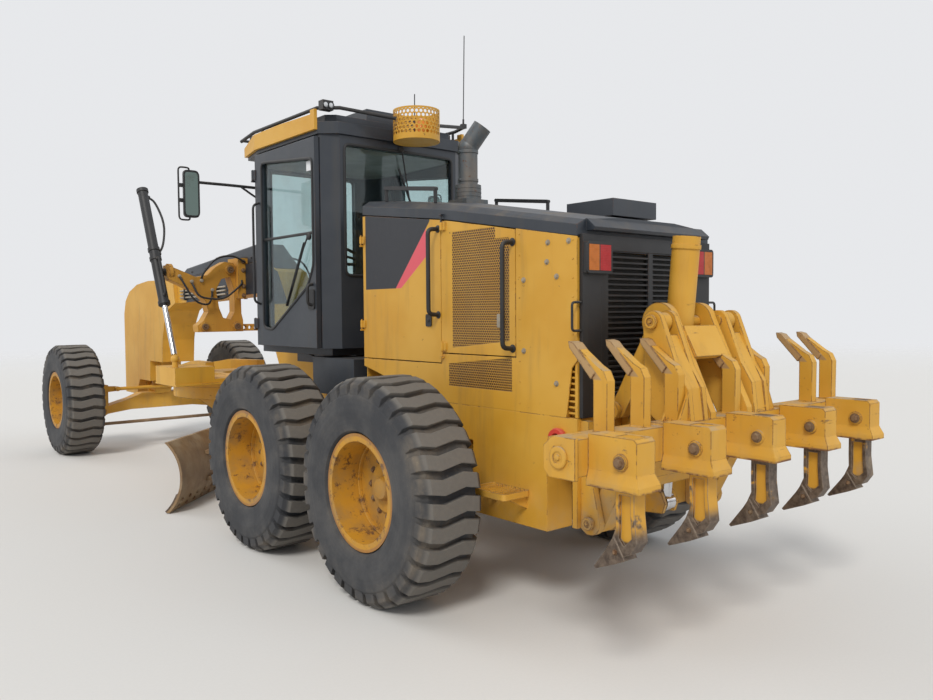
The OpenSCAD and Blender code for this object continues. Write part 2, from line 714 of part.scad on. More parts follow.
module cab_door(right) {
    on_right(right) color(dark) {
        difference() {
            block([cab_half + 5, cab_door_front + 6, cab_floor + 6], [cab_half + 45, cab_door_rear - 6, cab_top - 20]);
            side(100, cab_half + 30) polygon([[-1520, 2960], [-705, 2880], [-685, 2850], [-685, 2080], [-780, 1925], [-1370, 1590], [-1520, 1610]]);
        }
        for (z = cab_hinge_z) hinge_knuckle([cab_pivot[0], cab_pivot[1], z], 7, 90, [-14, 4], 40);
    }
}

module side_tanks() {
    color(dark) mirrored() block([320, -900, rail_top + seat_gap], [620, -300, 1380]);
}

module mirrors() {
    color(black) mirrored() {
        translate([0, -1765, 0]) rotate([-90, 0, 0]) linear_extrude(45) mirror([0, 1]) polygon([[1195, 2500], [1325, 2500], [1345, 2525],
            [1345, 2855], [1325, 2880], [1195, 2880], [1175, 2855], [1175, 2525]]);
        tube([637.2, -1742, 2790], [1200, -1742, 2790], 12);
        tube([645, -1742, 2695], [800, -1742, 2785], 9);
    }
}

module drawbar() {
    color(yellow) {
        difference() {
            union() {
                block([-lift_x - 40, yoke_front, draw_low], [lift_x + 40, yoke_rear, draw_mid]);
                mirrored() block([660, yoke_front, draw_low], [lift_x + 40, yoke_rear, draw_top]);
                block([-330, circle_y - 620, draw_low], [330, yoke_front + 1, draw_mid]);
                mirrored() translate([0, ball_y, ball_z]) rotate([0, 0, -bar_turn]) side(90, 12)
                    polygon([[120, -55], [120, 55], [1450, 230], [2050, 240], [2050, 100], [1500, 92]]);
            }
            z_cyl(260, 400, [0, circle_y, draw_low]);
        }
        difference() {
            translate([0, ball_y, ball_z]) sphere(ball_r);
            x_cyl(12, 3 * ball_r, [0, ball_y, ball_z]);
        }
        y_cyl(45, 160, [0, ball_y + 120, ball_z]);
        // flanges along the yoke
        for (y = [yoke_front - 16, yoke_rear - 2]) block([-lift_x - 40, y, draw_low], [lift_x + 40, y + 18, draw_low + 16]);
        // wear pads on the circle
        mirrored() for (p = [[225, -4105], [520, -2880]])
            translate([p[0], p[1], circle_top + seat_gap]) cylinder(r = 45, h = 24);
        mirrored() {
            translate(rod_eye) sphere(40);
            z_cyl(28, 60, [rod_eye[0], rod_eye[1], 1240]);
        }
    }
}

module turned() { translate([0, circle_y, 0]) rotate([0, 0, circle_turn]) children(); }

module circle_ring() {
    color(yellow) turned() {
        difference() {
            translate([0, 0, circle_low + 120]) cylinder(r = circle_r, h = circle_top - circle_low - 120);
            z_cyl(circle_r - 130, 400, [0, 0, circle_top]);
        }
        difference() {
            translate([0, 0, circle_low]) cylinder(r = circle_r - 40, h = circle_top - circle_low - 1);
            z_cyl(circle_r - 110, 400, [0, 0, circle_top - 50]);
        }
        mirrored() difference() {
            side(70, arm_x) polygon([[-260, circle_low + 1], [330, circle_low + 1], [330, 600], [tilt_y + 70, tilt_z - 60],
                [tilt_y - 60, tilt_z - 60], [150, 600], [-200, 840]]);
            x_cyl(tilt_pin_r + run, 200, [arm_x, tilt_y, tilt_z]);
        }
    }
}

module tilt_bracket() {
    color(yellow) turned() {
        mirrored() {
            difference() {
                side(40, arm_x - 62) polygon([[140, 180], [tilt_y + 50, tilt_z - 50], [tilt_y + 50, tilt_z + 60], [180, 560], [140, 560]]);
            }
            x_cyl(tilt_pin_r, 140, [arm_x - 20, tilt_y, tilt_z]);
        }
        block([-arm_x + 60, 150, 330], [arm_x - 60, 185, 400]);
        mirrored() for (r = blade_rails) difference() {
            block([arm_x - 112, r[1] - 2, r[0] - 34], [arm_x - 41, 160, r[0] + 34]);
            block([0, r[1] - 20, r[0] - 18 - ball_run], [arm_x, r[2] + ball_run, r[0] + 18 + ball_run]);
        }
    }
}

module blade() {
    color(yellow) turned() translate([blade_shift, 0, 0]) {
        cy = blade_y - sqrt(pow(blade_arc_r, 2) - pow(blade_h / 2, 2));
        intersection() {
            difference() {
                x_cyl(blade_arc_r + blade_t, blade_l, [0, cy, blade_mid_z]);
                x_cyl(blade_arc_r, blade_l + 10, [0, cy, blade_mid_z]);
            }
            block([-blade_l, cy + 100, blade_lift], [blade_l, 400, blade_lift + blade_h]);
        }
        for (r = blade_rails) block([-1150, r[1] - 25, r[0] - 18], [1320, r[2], r[0] + 18]);
    }
}

module along_lift() { mirrored() translate(trunnion) rotate([lift_tilt, 0, 0]) children(); }
module lift_barrels() {
    color(black) along_lift() difference() {
        union() {
            translate([0, 0, -barrel_low]) cylinder(r = 48, h = barrel_low + barrel_top);
            x_cyl(trunnion_r, 150, [-75, 0, 0]);
        }
        translate([0, 0, -500]) cylinder(r = 26 + run, h = 500 + barrel_top - 20);
    }
}
module lift_rods() {
    color(steel) along_lift() translate([0, 0, rod_low - lift_len]) cylinder(r = 26, h = lift_len - rod_low + rod_top);
}

module ripper_arms() {
    slope = atan2(rip_arm[1], rip_arm[0]);
    color(yellow) difference() {
        union() {
            mirrored() side(100, arm_pin_x) link2d(rip_low, low_eye, 60, 50);
            mirrored() x_cyl(rip_pin_r, 220, [arm_pin_x, rip_low[0], rip_low[1]]);
            side(2 * arm_pin_x - 60) translate(rip_low + 0.6 * rip_arm) rotate(slope) translate([0, -30]) square([220, 30], center = true);
            side(700) translate(rip_low + 0.74 * rip_arm) rotate(slope) translate([0, -32]) square([230, 36], center = true);
        }
        mirrored() x_cyl(rip_pin_r + run, 300, [arm_pin_x, low_eye[0], low_eye[1]]);
    }
}
module ripper_links() {
    color(yellow) mirrored() difference() {
        union() {
            side(60, link_x - 122) link2d(rip_high, high_eye, 48, 48);
            x_cyl(rip_pin_r, 240, [link_x - 122, rip_high[0], rip_high[1]]);
        }
        x_cyl(rip_pin_r + run, 100, [link_x - 122, high_eye[0], high_eye[1]]);
    }
}
// pocket that holds a shank, with a flared rim below
module shank_holder(x) {
    y1 = rip_beam_y + rip_beam_s / 2;
    top = rip_beam_z + 105;
    low = rip_beam_z - 122;
    difference() {
        union() {
            intersection() {
                side(200, x) polygon([[y1 - 1, top], [shank_y + 66, top], [shank_y + 82, top - 16], [shank_y + 82, low + 74],
                    [shank_y + 104, low + 26], [shank_y + 104, low], [y1 - 1, low]]);
                across(400, y1 - 2) polygon([[x - 62, top + 5], [x + 62, top + 5], [x + 62, low + 74], [x + 76, low + 26], [x + 76, low - 5],
                    [x - 76, low - 5], [x - 76, low + 26], [x - 62, low + 74]]);
            }
            // bosses of the retaining pin
            for (s = [-1, 1]) x_cyl(36, 18, [x + s * 64, shank_y, rip_beam_z]);
        }
        block([x - 38, shank_y - 50.3, low - 90], [x + 38, shank_y + 50.3, top + 90]);
    }
}
module tine(x) {
    side(54, x) polygon([[2300, 1120], [2380, 1120], [2382, 1405], [2360, 1450], [2318, 1472], [2215, 1545], [2200, 1530], [2288, 1436], [2300, 1400]]);
    side(68, x) polygon([[2290, 1410], [2314, 1440], [2182, 1574], [2150, 1582], [2156, 1552]]);
}
module ripper_carrier() {
    y0 = rip_beam_y - rip_beam_s / 2;
    y1 = rip_beam_y + rip_beam_s / 2;
    z0 = rip_beam_z - rip_beam_s / 2;
    z1 = rip_beam_z + rip_beam_s / 2;
    color(yellow) {
        block([-1210, y0, z0], [1210, y1, z1]);
        mirrored() side(22, 1214) polygon([[y0 - 12, z0 + 20], [y0 + 20, z0 - 12], [y1 + 10, z0 - 12], [y1 + 10, z1 + 8], [y0 + 40, z1 + 8], [y0 - 12, z1 - 36]]);
        for (x = shank_xs) shank_holder(x);
        for (x = tine_xs) tine(x);
        mirrored() {
            // towers for the upper links
            for (x = [link_x - 180, link_x - 62]) side(36, x) {
                translate(high_eye) circle(58);
                polygon([[high_eye[0] - 46, 1215], [y0 + 10, 1110], [y1 - 2, 1110], [y1 - 2, 1180], [y1 - 20, 1330], [2330, 1440],
                    [high_eye[0] + 52, high_eye[1] + 25], [high_eye[0] - 57, high_eye[1] - 10]]);
            }
            side(84, link_x - 121) polygon([[2249, 1598], [2388, 1332], [y1 - 6, z1 - 1], [y1 - 42, z1 - 1], [2360, 1322], [2225, 1580]]);
            for (y = [y0 + 40, y1 - 30]) across(14, y) polygon([[link_x - 46, z1 - 1], [link_x + 32, z1 - 1], [link_x - 46, z1 + 150]]);
            x_cyl(rip_pin_r, 170, [link_x - 120, high_eye[0], high_eye[1]]);
            // plates beside the cylinder
            difference() {
                side(50, 170) {
                    translate(cyl_trunnion) circle(106);
                    polygon([[y0 - 8, 1130], [y1 - 3, 1130], [y1 - 3, 1200], [2180, 1704], [1992, 1612]]);
                }
                x_cyl(35 + run, 100, [170, cyl_trunnion[0], cyl_trunnion[1]]);
            }
            for (x = [arm_pin_x - 75, arm_pin_x + 75]) side(36, x) link2d(low_eye, [rip_beam_y, rip_beam_z], 56, 66);
            x_cyl(rip_pin_r, 190, [arm_pin_x, low_eye[0], low_eye[1]]);
        }
        side(300) polygon([[2187, 1628], [2216, 1642], [2300, 1480], [2270, 1464]]);
    }
}
module ripper_shanks() {
    color(yellow) for (x = shank_xs) {
        difference() {
            side(75.4, x) polygon([[shank_y - 50, 1188], [shank_y + 50, 1188], [shank_y + 50, 860], [shank_y + 64, 745], [shank_y + 30, 694],
                [shank_y - 12, 676], [shank_y - 72, 738], [shank_y - 48, 792], [shank_y - 50, 860]]);
            for (s = [-1, 1]) side(28, x + s * 37.7) polygon([[shank_y - 30, 942], [shank_y + 30, 942], [shank_y + 31, 860], [shank_y + 38, 764],
                [shank_y - 4, 722], [shank_y - 32, 752], [shank_y - 29, 800]]);
        }
        // the wearing tip
        intersection() {
            side(120, x) polygon([[shank_y + 4, 662], [shank_y - 58, 756], [shank_y - 92, 706], [shank_y - 182, 596], [shank_y - 170, 588], [shank_y - 42, 640]]);
            translate([0, 0, 500]) linear_extrude(400) polygon([[x - 43, shank_y + 20], [x + 43, shank_y + 20], [x + 43, shank_y - 70], [x + 24, shank_y - 190],
                [x - 24, shank_y - 190], [x - 43, shank_y - 70]]);
        }
    }
}
module along_ripper_cyl() { translate([0, cyl_low[0], cyl_low[1]]) rotate([-cyl_tilt, 0, 0]) children(); }
module ripper_barrel() {
    color(yellow) along_ripper_cyl() difference() {
        union() {
            translate([0, 0, cyl_len - 330]) cylinder(r = cyl_r, h = 330 + 470);
            translate([0, 0, cyl_len + 400]) cylinder(r = cyl_r + 6, h = 24);
            x_cyl(35, 2 * 192, [0, 0, cyl_len]);
        }
        translate([0, 0, cyl_len - 400]) cylinder(r = 35 + run, h = 400 + 430);
    }
}
module ripper_rod() {
    color(steel) along_ripper_cyl() translate([0, 0, 35]) cylinder(r = 35, h = cyl_len - 35 - 200);
    color(steel) x_cyl(50, 76, [0, cyl_low[0], cyl_low[1]]);
}

module at_wheel(i, right) {
    on_right(right) translate([half_track, wheel_ys[i], hub_z]) rotate([0, 90, 0]) children();
}
module tyre(i, right) {
    crown_r = tyre_r - lug_h;
    half = tyre_w / 2;
    bead = rim_w / 2 + 3;
    at_wheel(i, right) color(rubber) {
        rotate_extrude() polygon([[bead_r, -bead], [bead_r + 34, -bead], [bead_r + 46, -bead - 26], [bead_r + 170, -half], [crown_r - 70, -half + 6],
            [crown_r, -half + 60], [crown_r, half - 60], [crown_r - 70, half - 6], [bead_r + 170, half], [bead_r + 46, bead + 26], [bead_r + 34, bead],
            [bead_r, bead]]);
        for (k = [0:lug_count - 1]) rotate([0, 0, k * 360 / lug_count]) lug(half);
    }
}
module lug(half) {
    intersection() {
        translate([tyre_r - 100, 0, 0]) rotate([90, 0, 90]) linear_extrude(100) polygon([
            [-lug_w / 2 - 14, -half], [lug_w / 2 - 14, -half], [lug_w / 2 + 14, -half / 3], [lug_w / 2 - 14, half / 3], [lug_w / 2 + 14, half],
            [-lug_w / 2 + 14, half], [-lug_w / 2 - 14, half / 3], [-lug_w / 2 + 14, -half / 3]]);
        rotate([90, 0, 0]) linear_extrude(300, center = true) polygon([[tyre_r - 95, -half + 12], [tyre_r - 40, -half + 16], [tyre_r, -half + 62],
            [tyre_r, half - 62], [tyre_r - 40, half - 16], [tyre_r - 95, half - 12]]);
    }
}
module rim(i, right) {
    h = rim_w / 2;
    at_wheel(i, right) color(yellow) {
        rotate_extrude() polygon([[bead_r - 18, -h - 16], [bead_r + 30, -h - 16], [bead_r + 30, -h - 4], [bead_r - 1, -h - 4], [bead_r - 1, h + 4],
            [bead_r + 30, h + 4], [bead_r + 30, h + 16], [bead_r - 18, h + 16]]);
        difference() {
            union() {
                translate([0, 0, -rim_disc_x]) cylinder(r = bead_r - 17, h = disc_t);
                translate([0, 0, -rim_disc_x]) cylinder(r = 150, h = disc_t + 16);
            }
            cylinder(r = 60, h = 200, center = true);
        }
    }
}

placed() rear_frame();
placed() axle_housing();
placed() tandem_case(false);  // tandem_case_left
placed() tandem_case(true);  // tandem_case_right
placed() engine_block();
placed() hood_panels();
placed() hood_top();
placed() rear_grille();
placed() tail_lamps();
placed() exhaust_stack();
placed() hood_rails();
placed() ripper_bracket();
placed() engine_door(false);  // engine_door_left
placed() engine_door(true);  // engine_door_right
placed() mesh_door(false);  // mesh_door_left
placed() mesh_door(true);  // mesh_door_right
placed() front_frame();
placed() front_axle();
placed() lift_arms();
placed() cab_shell();
placed() cab_roof();
placed() roof_visor();
placed() roof_rails();
placed() antennas();
placed() cab_seat();
placed() side_tanks();
placed() mirrors();
placed() cab_door(false);  // cab_door_left
placed() cab_door(true);  // cab_door_right
placed() lean_bracket(false);  // lean_bracket_left
placed() lean_bracket(true);  // lean_bracket_right
placed() knuckle(false);  // knuckle_left
placed() knuckle(true);  // knuckle_right
placed() lean_bar();
placed() tie_end();
placed() tie_rod();
placed() drawbar();
placed() circle_ring();  // circle
placed() tilt_bracket();
placed() blade();
placed() lift_barrels();
placed() lift_rods();
placed() ripper_arms();
placed() ripper_links();
placed() ripper_carrier();
placed() ripper_shanks();
placed() ripper_barrel();
placed() ripper_rod();
placed() tyre(0, false);  // tyre_front_left
placed() tyre(0, true);  // tyre_front_right
placed() tyre(1, false);  // tyre_mid_left
placed() tyre(1, true);  // tyre_mid_right
placed() tyre(2, false);  // tyre_rear_left
placed() tyre(2, true);  // tyre_rear_right
placed() rim(0, false);  // rim_front_left
placed() rim(0, true);  // rim_front_right
placed() rim(1, false);  // rim_mid_left
placed() rim(1, true);  // rim_mid_right
placed() rim(2, false);  // rim_rear_left
placed() rim(2, true);  // rim_rear_right
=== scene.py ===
import json
import math

import bmesh
import bpy
import numpy as np
from mathutils import Matrix, Vector

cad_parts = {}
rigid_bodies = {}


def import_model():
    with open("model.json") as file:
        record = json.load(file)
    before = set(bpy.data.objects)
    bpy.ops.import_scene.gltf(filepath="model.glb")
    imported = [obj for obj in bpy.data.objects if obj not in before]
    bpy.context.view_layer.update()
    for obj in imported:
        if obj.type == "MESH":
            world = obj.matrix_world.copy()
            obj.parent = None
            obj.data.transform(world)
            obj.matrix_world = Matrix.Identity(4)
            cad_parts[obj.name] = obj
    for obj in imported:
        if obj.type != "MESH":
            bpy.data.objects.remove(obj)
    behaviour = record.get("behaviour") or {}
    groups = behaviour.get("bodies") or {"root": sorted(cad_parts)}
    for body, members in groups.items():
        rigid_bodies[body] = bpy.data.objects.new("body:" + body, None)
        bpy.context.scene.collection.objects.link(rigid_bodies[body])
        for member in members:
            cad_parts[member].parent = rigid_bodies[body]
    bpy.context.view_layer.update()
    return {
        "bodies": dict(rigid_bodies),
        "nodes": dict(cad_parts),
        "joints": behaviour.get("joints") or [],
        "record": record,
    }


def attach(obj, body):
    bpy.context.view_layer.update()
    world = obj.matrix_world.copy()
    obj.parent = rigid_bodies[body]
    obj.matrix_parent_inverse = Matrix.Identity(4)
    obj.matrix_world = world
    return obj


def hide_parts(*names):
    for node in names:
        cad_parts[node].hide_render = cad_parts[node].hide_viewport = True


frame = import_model()
nodes = frame["nodes"]
print("frame loaded:", len(nodes), "nodes")

tandemY = 2.080  # middle of the tandem, where the source measures its places from
xAxis = (1, 0, 0)
yAxis = (0, 1, 0)
zAxis = (0, 0, 1)


# the camera of the photograph

camera = {"place": (3.81, 4.803 + tandemY, 1.725), "yaw": 0.696, "pitch": 0.047, "roll": -0.007,
          "lens": 31.56, "sensor": 36.0}


def makeCamera(look):
    yaw = look["yaw"]
    pitch = look["pitch"]
    ahead = Vector((-math.sin(yaw) * math.cos(pitch), -math.cos(yaw) * math.cos(pitch), -math.sin(pitch)))
    side = ahead.cross(Vector(zAxis)).normalized()
    up = side.cross(ahead)
    turn = look["roll"]
    right = side * math.cos(turn) + up * math.sin(turn)
    top = up * math.cos(turn) - side * math.sin(turn)
    data = bpy.data.cameras.new("photoCamera")
    data.lens = look["lens"]
    data.sensor_width = look["sensor"]
    data.clip_end = 300
    eye = bpy.data.objects.new("photoCamera", data)
    bpy.context.scene.collection.objects.link(eye)
    eye.matrix_world = Matrix.Translation(look["place"]) @ Matrix((right, top, -ahead)).transposed().to_4x4()
    bpy.context.scene.camera = eye


makeCamera(camera)


# shader maths written as expressions

class Num:
    # a number socket; an expression on it adds Math nodes
    def __init__(self, shader, socket):
        self.shader = shader
        self.socket = socket

    def math(self, operation, *values):
        made = self.shader.add("ShaderNodeMath", {"operation": operation}, dict(enumerate(values)))
        return Num(self.shader, made.outputs[0])

    def __add__(self, other):
        return self.math("ADD", self, other)

    def __radd__(self, other):
        return self.math("ADD", other, self)

    def __sub__(self, other):
        return self.math("SUBTRACT", self, other)

    def __rsub__(self, other):
        return self.math("SUBTRACT", other, self)

    def __mul__(self, other):
        return self.math("MULTIPLY", self, other)

    def __rmul__(self, other):
        return self.math("MULTIPLY", other, self)

    def __truediv__(self, other):
        return self.math("DIVIDE", self, other)

    def __pow__(self, other):
        return self.math("POWER", self, other)

    def __abs__(self):
        return self.math("ABSOLUTE", self)

    def wave(self):
        return self.math("SINE", self)

    def biggest(self, other):
        return self.math("MAXIMUM", self, other)

    def fraction(self):
        return self.math("FRACT", self)

    def whole(self):
        return self.math("FLOOR", self)

    def inside(self, low, high, soft=0.002):
        # 1 between low and high, 0 outside them
        return self.ease(low - soft, low + soft) * (1 - self.ease(high - soft, high + soft))

    def ease(self, low, high):
        # 0 below low, 1 above high, smooth between them
        made = self.shader.add("ShaderNodeMapRange", {"interpolation_type": "SMOOTHSTEP"},
                               {"Value": self, "From Min": low, "From Max": high})
        return Num(self.shader, made.outputs[0])

    def clamp(self):
        return self.ease(0.0, 1.0)


class Nodes:
    # a node tree; add() makes any node from its type, its settings and its sockets' values
    def __init__(self, tree):
        self.tree = tree
        self.tree.nodes.clear()

    def feed(self, socket, value):
        if isinstance(value, Num):
            value = value.socket
        if isinstance(value, bpy.types.NodeSocket):
            self.tree.links.new(value, socket)
        elif socket.type == "RGBA" and len(value) == 3:
            socket.default_value = (*value, 1.0)
        else:
            socket.default_value = value

    def add(self, kind, settings=None, inputs=None):
        node = self.tree.nodes.new(kind)
        for key, value in (settings or {}).items():
            setattr(node, key, value)
        for key, value in (inputs or {}).items():
            self.feed(node.inputs[key], value)
        return node


class Shader(Nodes):
    # one material, with its place, its distances along x, y and z and the patterns that the finishes share
    def __init__(self, name):
        self.material = bpy.data.materials.new(name)
        self.material.use_nodes = True
        super().__init__(self.material.node_tree)
        self.surface = self.add("ShaderNodeBsdfPrincipled")
        self.end = self.add("ShaderNodeOutputMaterial", {}, {"Surface": self.surface.outputs[0]})
        self.place = self.add("ShaderNodeTexCoord").outputs["Object"]
        parts = self.add("ShaderNodeSeparateXYZ", {}, {0: self.place})
        self.x, self.y, self.z = (Num(self, parts.outputs[i]) for i in range(3))
        self.y = self.y - tandemY  # measured from the middle of the tandem, as every place here
        self.shape = self.add("ShaderNodeNewGeometry")

    def noise(self, scale, detail=4.0, rough=0.6, stretch=(1, 1, 1)):
        at = self.place
        if stretch != (1, 1, 1):
            at = self.add("ShaderNodeMapping", {}, {"Vector": at, "Scale": stretch}).outputs[0]
        made = self.add("ShaderNodeTexNoise", {},
                        {"Vector": at, "Scale": scale, "Detail": detail, "Roughness": rough})
        return Num(self, made.outputs["Fac"])

    def cells(self, scale):
        made = self.add("ShaderNodeTexVoronoi", {"feature": "F1"}, {"Vector": self.place, "Scale": scale})
        return Num(self, made.outputs["Distance"])

    def mix(self, factor, first, second):
        made = self.add("ShaderNodeMix", {"data_type": "RGBA"}, {0: factor, 6: first, 7: second})
        return made.outputs[2]

    def facing(self, axis):
        # how far a face looks along x, y or z, from -1 to 1
        parts = self.add("ShaderNodeSeparateXYZ", {}, {0: self.shape.outputs["Normal"]})
        return Num(self, parts.outputs["XYZ".index(axis)])

    def holes(self, across, up, pitch, size):
        # 1 in round holes in staggered rows: distance from the middle of each cell against the size
        row = up / (pitch * 0.87)
        column = across / pitch + row.whole() * 0.5
        u = column.fraction() - 0.5
        v = row.fraction() - 0.5
        return 1 - ((u * u + v * v * 0.76) ** 0.5).ease(size - 0.05, size + 0.05)

    def softNormal(self, radius):
        return self.add("ShaderNodeBevel", {"samples": 4}, {"Radius": radius}).outputs[0]

    def edges(self, soft):
        # 0 on a flat face, rising towards an edge
        made = self.add("ShaderNodeVectorMath", {"operation": "DOT_PRODUCT"},
                        {0: soft, 1: self.shape.outputs["Normal"]})
        return (1 - Num(self, made.outputs["Value"])).ease(0.004, 0.16)

    def bump(self, height, depth, normal=None):
        inputs = {"Height": height, "Distance": depth, "Strength": 1.0}
        if normal is not None:
            inputs["Normal"] = normal
        return self.add("ShaderNodeBump", {}, inputs).outputs[0]

    def finish(self, **sockets):
        for key, value in sockets.items():
            self.feed(self.surface.inputs[key.replace("_", " ")], value)
        return self.material


# materials

dustTone = (0.40, 0.31, 0.20)
rustTone = (0.13, 0.045, 0.015)

yellowLook = {"paint": (0.62, 0.315, 0.026), "faded": (0.68, 0.375, 0.050), "grime": (0.33, 0.19, 0.05),
              "rough": 0.42, "edge": 0.006, "chipEdge": 0.55, "chipNoise": 0.66, "dustLow": 1.1,
              "dust": 0.40}


def paintShader(name, look, marks=None):
    # marks gives the places with another colour: (where, colour, how deep)
    s = Shader(name)
    soft = s.softNormal(look["edge"])
    edge = s.edges(soft)
    broad = s.noise(1.7, 3.0)
    fine = s.noise(24.0, 5.0, 0.7)
    streaks = s.noise(9.0, 4.0, 0.6, (1.0, 1.0, 0.12)).ease(0.52, 0.74)
    speck = s.noise(95.0, 2.0, 0.5)
    colour = s.mix(broad.ease(0.35, 0.68), look["paint"], look["faded"])
    colour = s.mix(streaks * (0.22 + 0.25 * fine), colour, look["grime"])
    dent = 0.0
    for where, tone, deep in (marks(s) if marks else []):
        colour = s.mix(where, colour, tone)
        dent = where * deep + dent
    lowDust = 1 - s.z.ease(0.25, look["dustLow"])
    patches = s.noise(5.5, 5.0, 0.65).ease(0.30, 0.72)
    settled = (s.facing("Z").ease(0.35, 0.95) * 0.75 + lowDust * 0.75) * patches
    colour = s.mix((settled * look["dust"] * 1.6).clamp(), colour, dustTone)
    chips = ((edge * look["chipEdge"] + fine * 0.55) * s.noise(6.0, 3.0).ease(0.36, 0.62)).ease(0.42, 0.47)
    scratches = s.noise(14.0, 6.0, 0.8, (0.2, 1.0, 1.6)).ease(look["chipNoise"], look["chipNoise"] + 0.05)
    bare = chips.biggest(scratches * 0.8)
    rust = s.mix(speck.ease(0.4, 0.6), rustTone, look.get("bareTone", (0.24, 0.14, 0.07)))
    colour = s.mix(bare, colour, rust)
    roughness = look["rough"] + 0.16 * fine + 0.25 * bare + 0.22 * settled
    height = fine * 0.25 + (1 - bare) * 0.5 + speck * 0.06 - dent
    return s.finish(Base_Color=colour, Roughness=roughness, Normal=s.bump(height, 0.0006, soft), IOR=1.5)


# places of another colour on painted nodes

# the holes of the perforated panels are not cut: each hole gets a dark colour, painted shade seen through
# the opening, and a dent
meshHoles = {"pitch": 0.017, "size": 0.40, "tone": (0.060, 0.020, 0.008), "depth": 6.0, "rise": 0.10,
             "side": (0.580, 0.584), "edge": (-0.003, 0.003)}
upperArea = {"y": (0.82, 1.34), "low": 1.500, "top": (2.148, 2.152), "raisedY": (0.82, 1.22),
             "raisedTop": (2.218, 2.222)}
lowerArea = {"y": (0.78, 1.36), "low": (1.258, 1.262), "top": 1.398}
beamSide = {"x": (0.150, 0.162), "y": (-4.70, -2.12), "z": (1.80, 1.82), "tone": (0.022, 0.028, 0.038)}
doorPanel = {"low": (0.205, 1.885), "slope": 1.0995, "stripeLow": (0.268, 1.885), "stripeSlope": 0.70,
             "ends": (-0.165, 0.59), "stripeEnd": (0.549, 0.551), "side": (0.588, 0.590),
             "base": (1.884, 1.887), "edge": (-0.002, 0.002), "dark": (0.020, 0.022, 0.028),
             "stripe": (0.72, 0.10, 0.13)}
tineCaps = {"upper": (2.314, 1.440, 1.015), "lower": (2.290, 1.410, 1.060), "soft": 0.0006,
            "xs": ((0.8995, 0.9685), (0.6325, 0.7015), (0.3715, 0.4345), (-0.1425, -0.0735),
                   (-0.4345, -0.3715), (-0.9685, -0.8995), (-1.2145, -1.1455)),
            "tone": (0.43, 0.27, 0.12)}
holderRims = {"z": (0.955, 0.973), "tone": (0.20, 0.085, 0.03)}
cabBase = {"y": (-2.02, -0.60), "z": 1.275}


# dark holes in the perforated panels: painted shade where the openings are, with a dent
def paintedHoleShade(s, area):
    side = abs(s.x).ease(*meshHoles["side"])
    holes = s.holes(s.y, s.z, meshHoles["pitch"], meshHoles["size"])
    return [(holes * area(s) * side, meshHoles["tone"], meshHoles["depth"])]


def upperMesh(s):
    # above a rising line, and higher over its front part
    look = upperArea
    low = (s.z - look["low"] - (s.y - look["y"][0]) * meshHoles["rise"]).ease(*meshHoles["edge"])
    raised = s.y.inside(*look["raisedY"]) * (1 - s.z.ease(*look["raisedTop"]))
    return low * s.y.inside(*look["y"]) * (1 - s.z.ease(*look["top"])).biggest(raised)


def lowerMesh(s):
    # below a rising line
    look = lowerArea
    top = 1 - (s.z - look["top"] - (s.y - look["y"][0]) * meshHoles["rise"]).ease(*meshHoles["edge"])
    return top * s.y.inside(*look["y"]) * s.z.ease(*look["low"])


def doorMarks(s):
    # a dark panel above one slanting line, and a red stripe between it and a flatter one
    look = doorPanel
    side = abs(s.x).ease(*look["side"])
    y, z = look["low"]
    above = (s.z - z - (s.y - y) * look["slope"]).ease(*look["edge"])
    y, z = look["stripeLow"]
    aboveStripe = (s.z - z - (s.y - y) * look["stripeSlope"]).ease(*look["edge"])
    area = s.z.ease(*look["base"]) * s.y.inside(*look["ends"]) * side
    stripe = aboveStripe * (1 - above) * area * (1 - s.y.ease(*look["stripeEnd"]))
    return [(area * above, look["dark"], 0.0), (stripe, look["stripe"], 0.0)]


def beamMarks(s):
    # the sides of the main beam, between the nose and the cab, are dark, and so is the base below the cab
    side = abs(s.x).inside(*beamSide["x"]) * abs(s.facing("X")).ease(0.5, 0.6)
    high = s.z.ease(*beamSide["z"])
    base = s.y.inside(*cabBase["y"]) * s.z.ease(cabBase["z"], cabBase["z"] + 0.004)
    return [((side * high * s.y.inside(*beamSide["y"])).biggest(base), beamSide["tone"], 0.0)]


def shankMarks(s):
    # the floors of the pockets keep their paint
    away = abs((s.x / 0.533 + 0.5).fraction() - 0.5) * 0.533
    return (1 - away.ease(0.0245, 0.0262)) * abs(s.facing("X")).ease(0.6, 0.7) * s.z.ease(0.73, 0.75)


def capMarks(s):
    # worn caps between the two slanting lines of their outline, and the rusty rims below the holders
    look = tineCaps
    caps = s.x.inside(*look["xs"][0], look["soft"])
    for ends in look["xs"][1:]:
        caps = caps.biggest(s.x.inside(*ends, look["soft"]))
    y, z, slope = look["upper"]
    upper = 1 - (s.z - z + (s.y - y) * slope).ease(0.002, 0.006)
    y, z, slope = look["lower"]
    lower = (s.z - z + (s.y - y) * slope).ease(-0.006, -0.002)
    rims = s.z.inside(*holderRims["z"], 0.004) * s.noise(12.0, 5.0, 0.7).ease(0.36, 0.60)
    return [(caps * upper * lower * s.z.ease(1.405, 1.412), tineCaps["tone"], 0.0),
            (rims, holderRims["tone"], 0.3)]


yellowPaint = paintShader("yellowPaint", yellowLook)
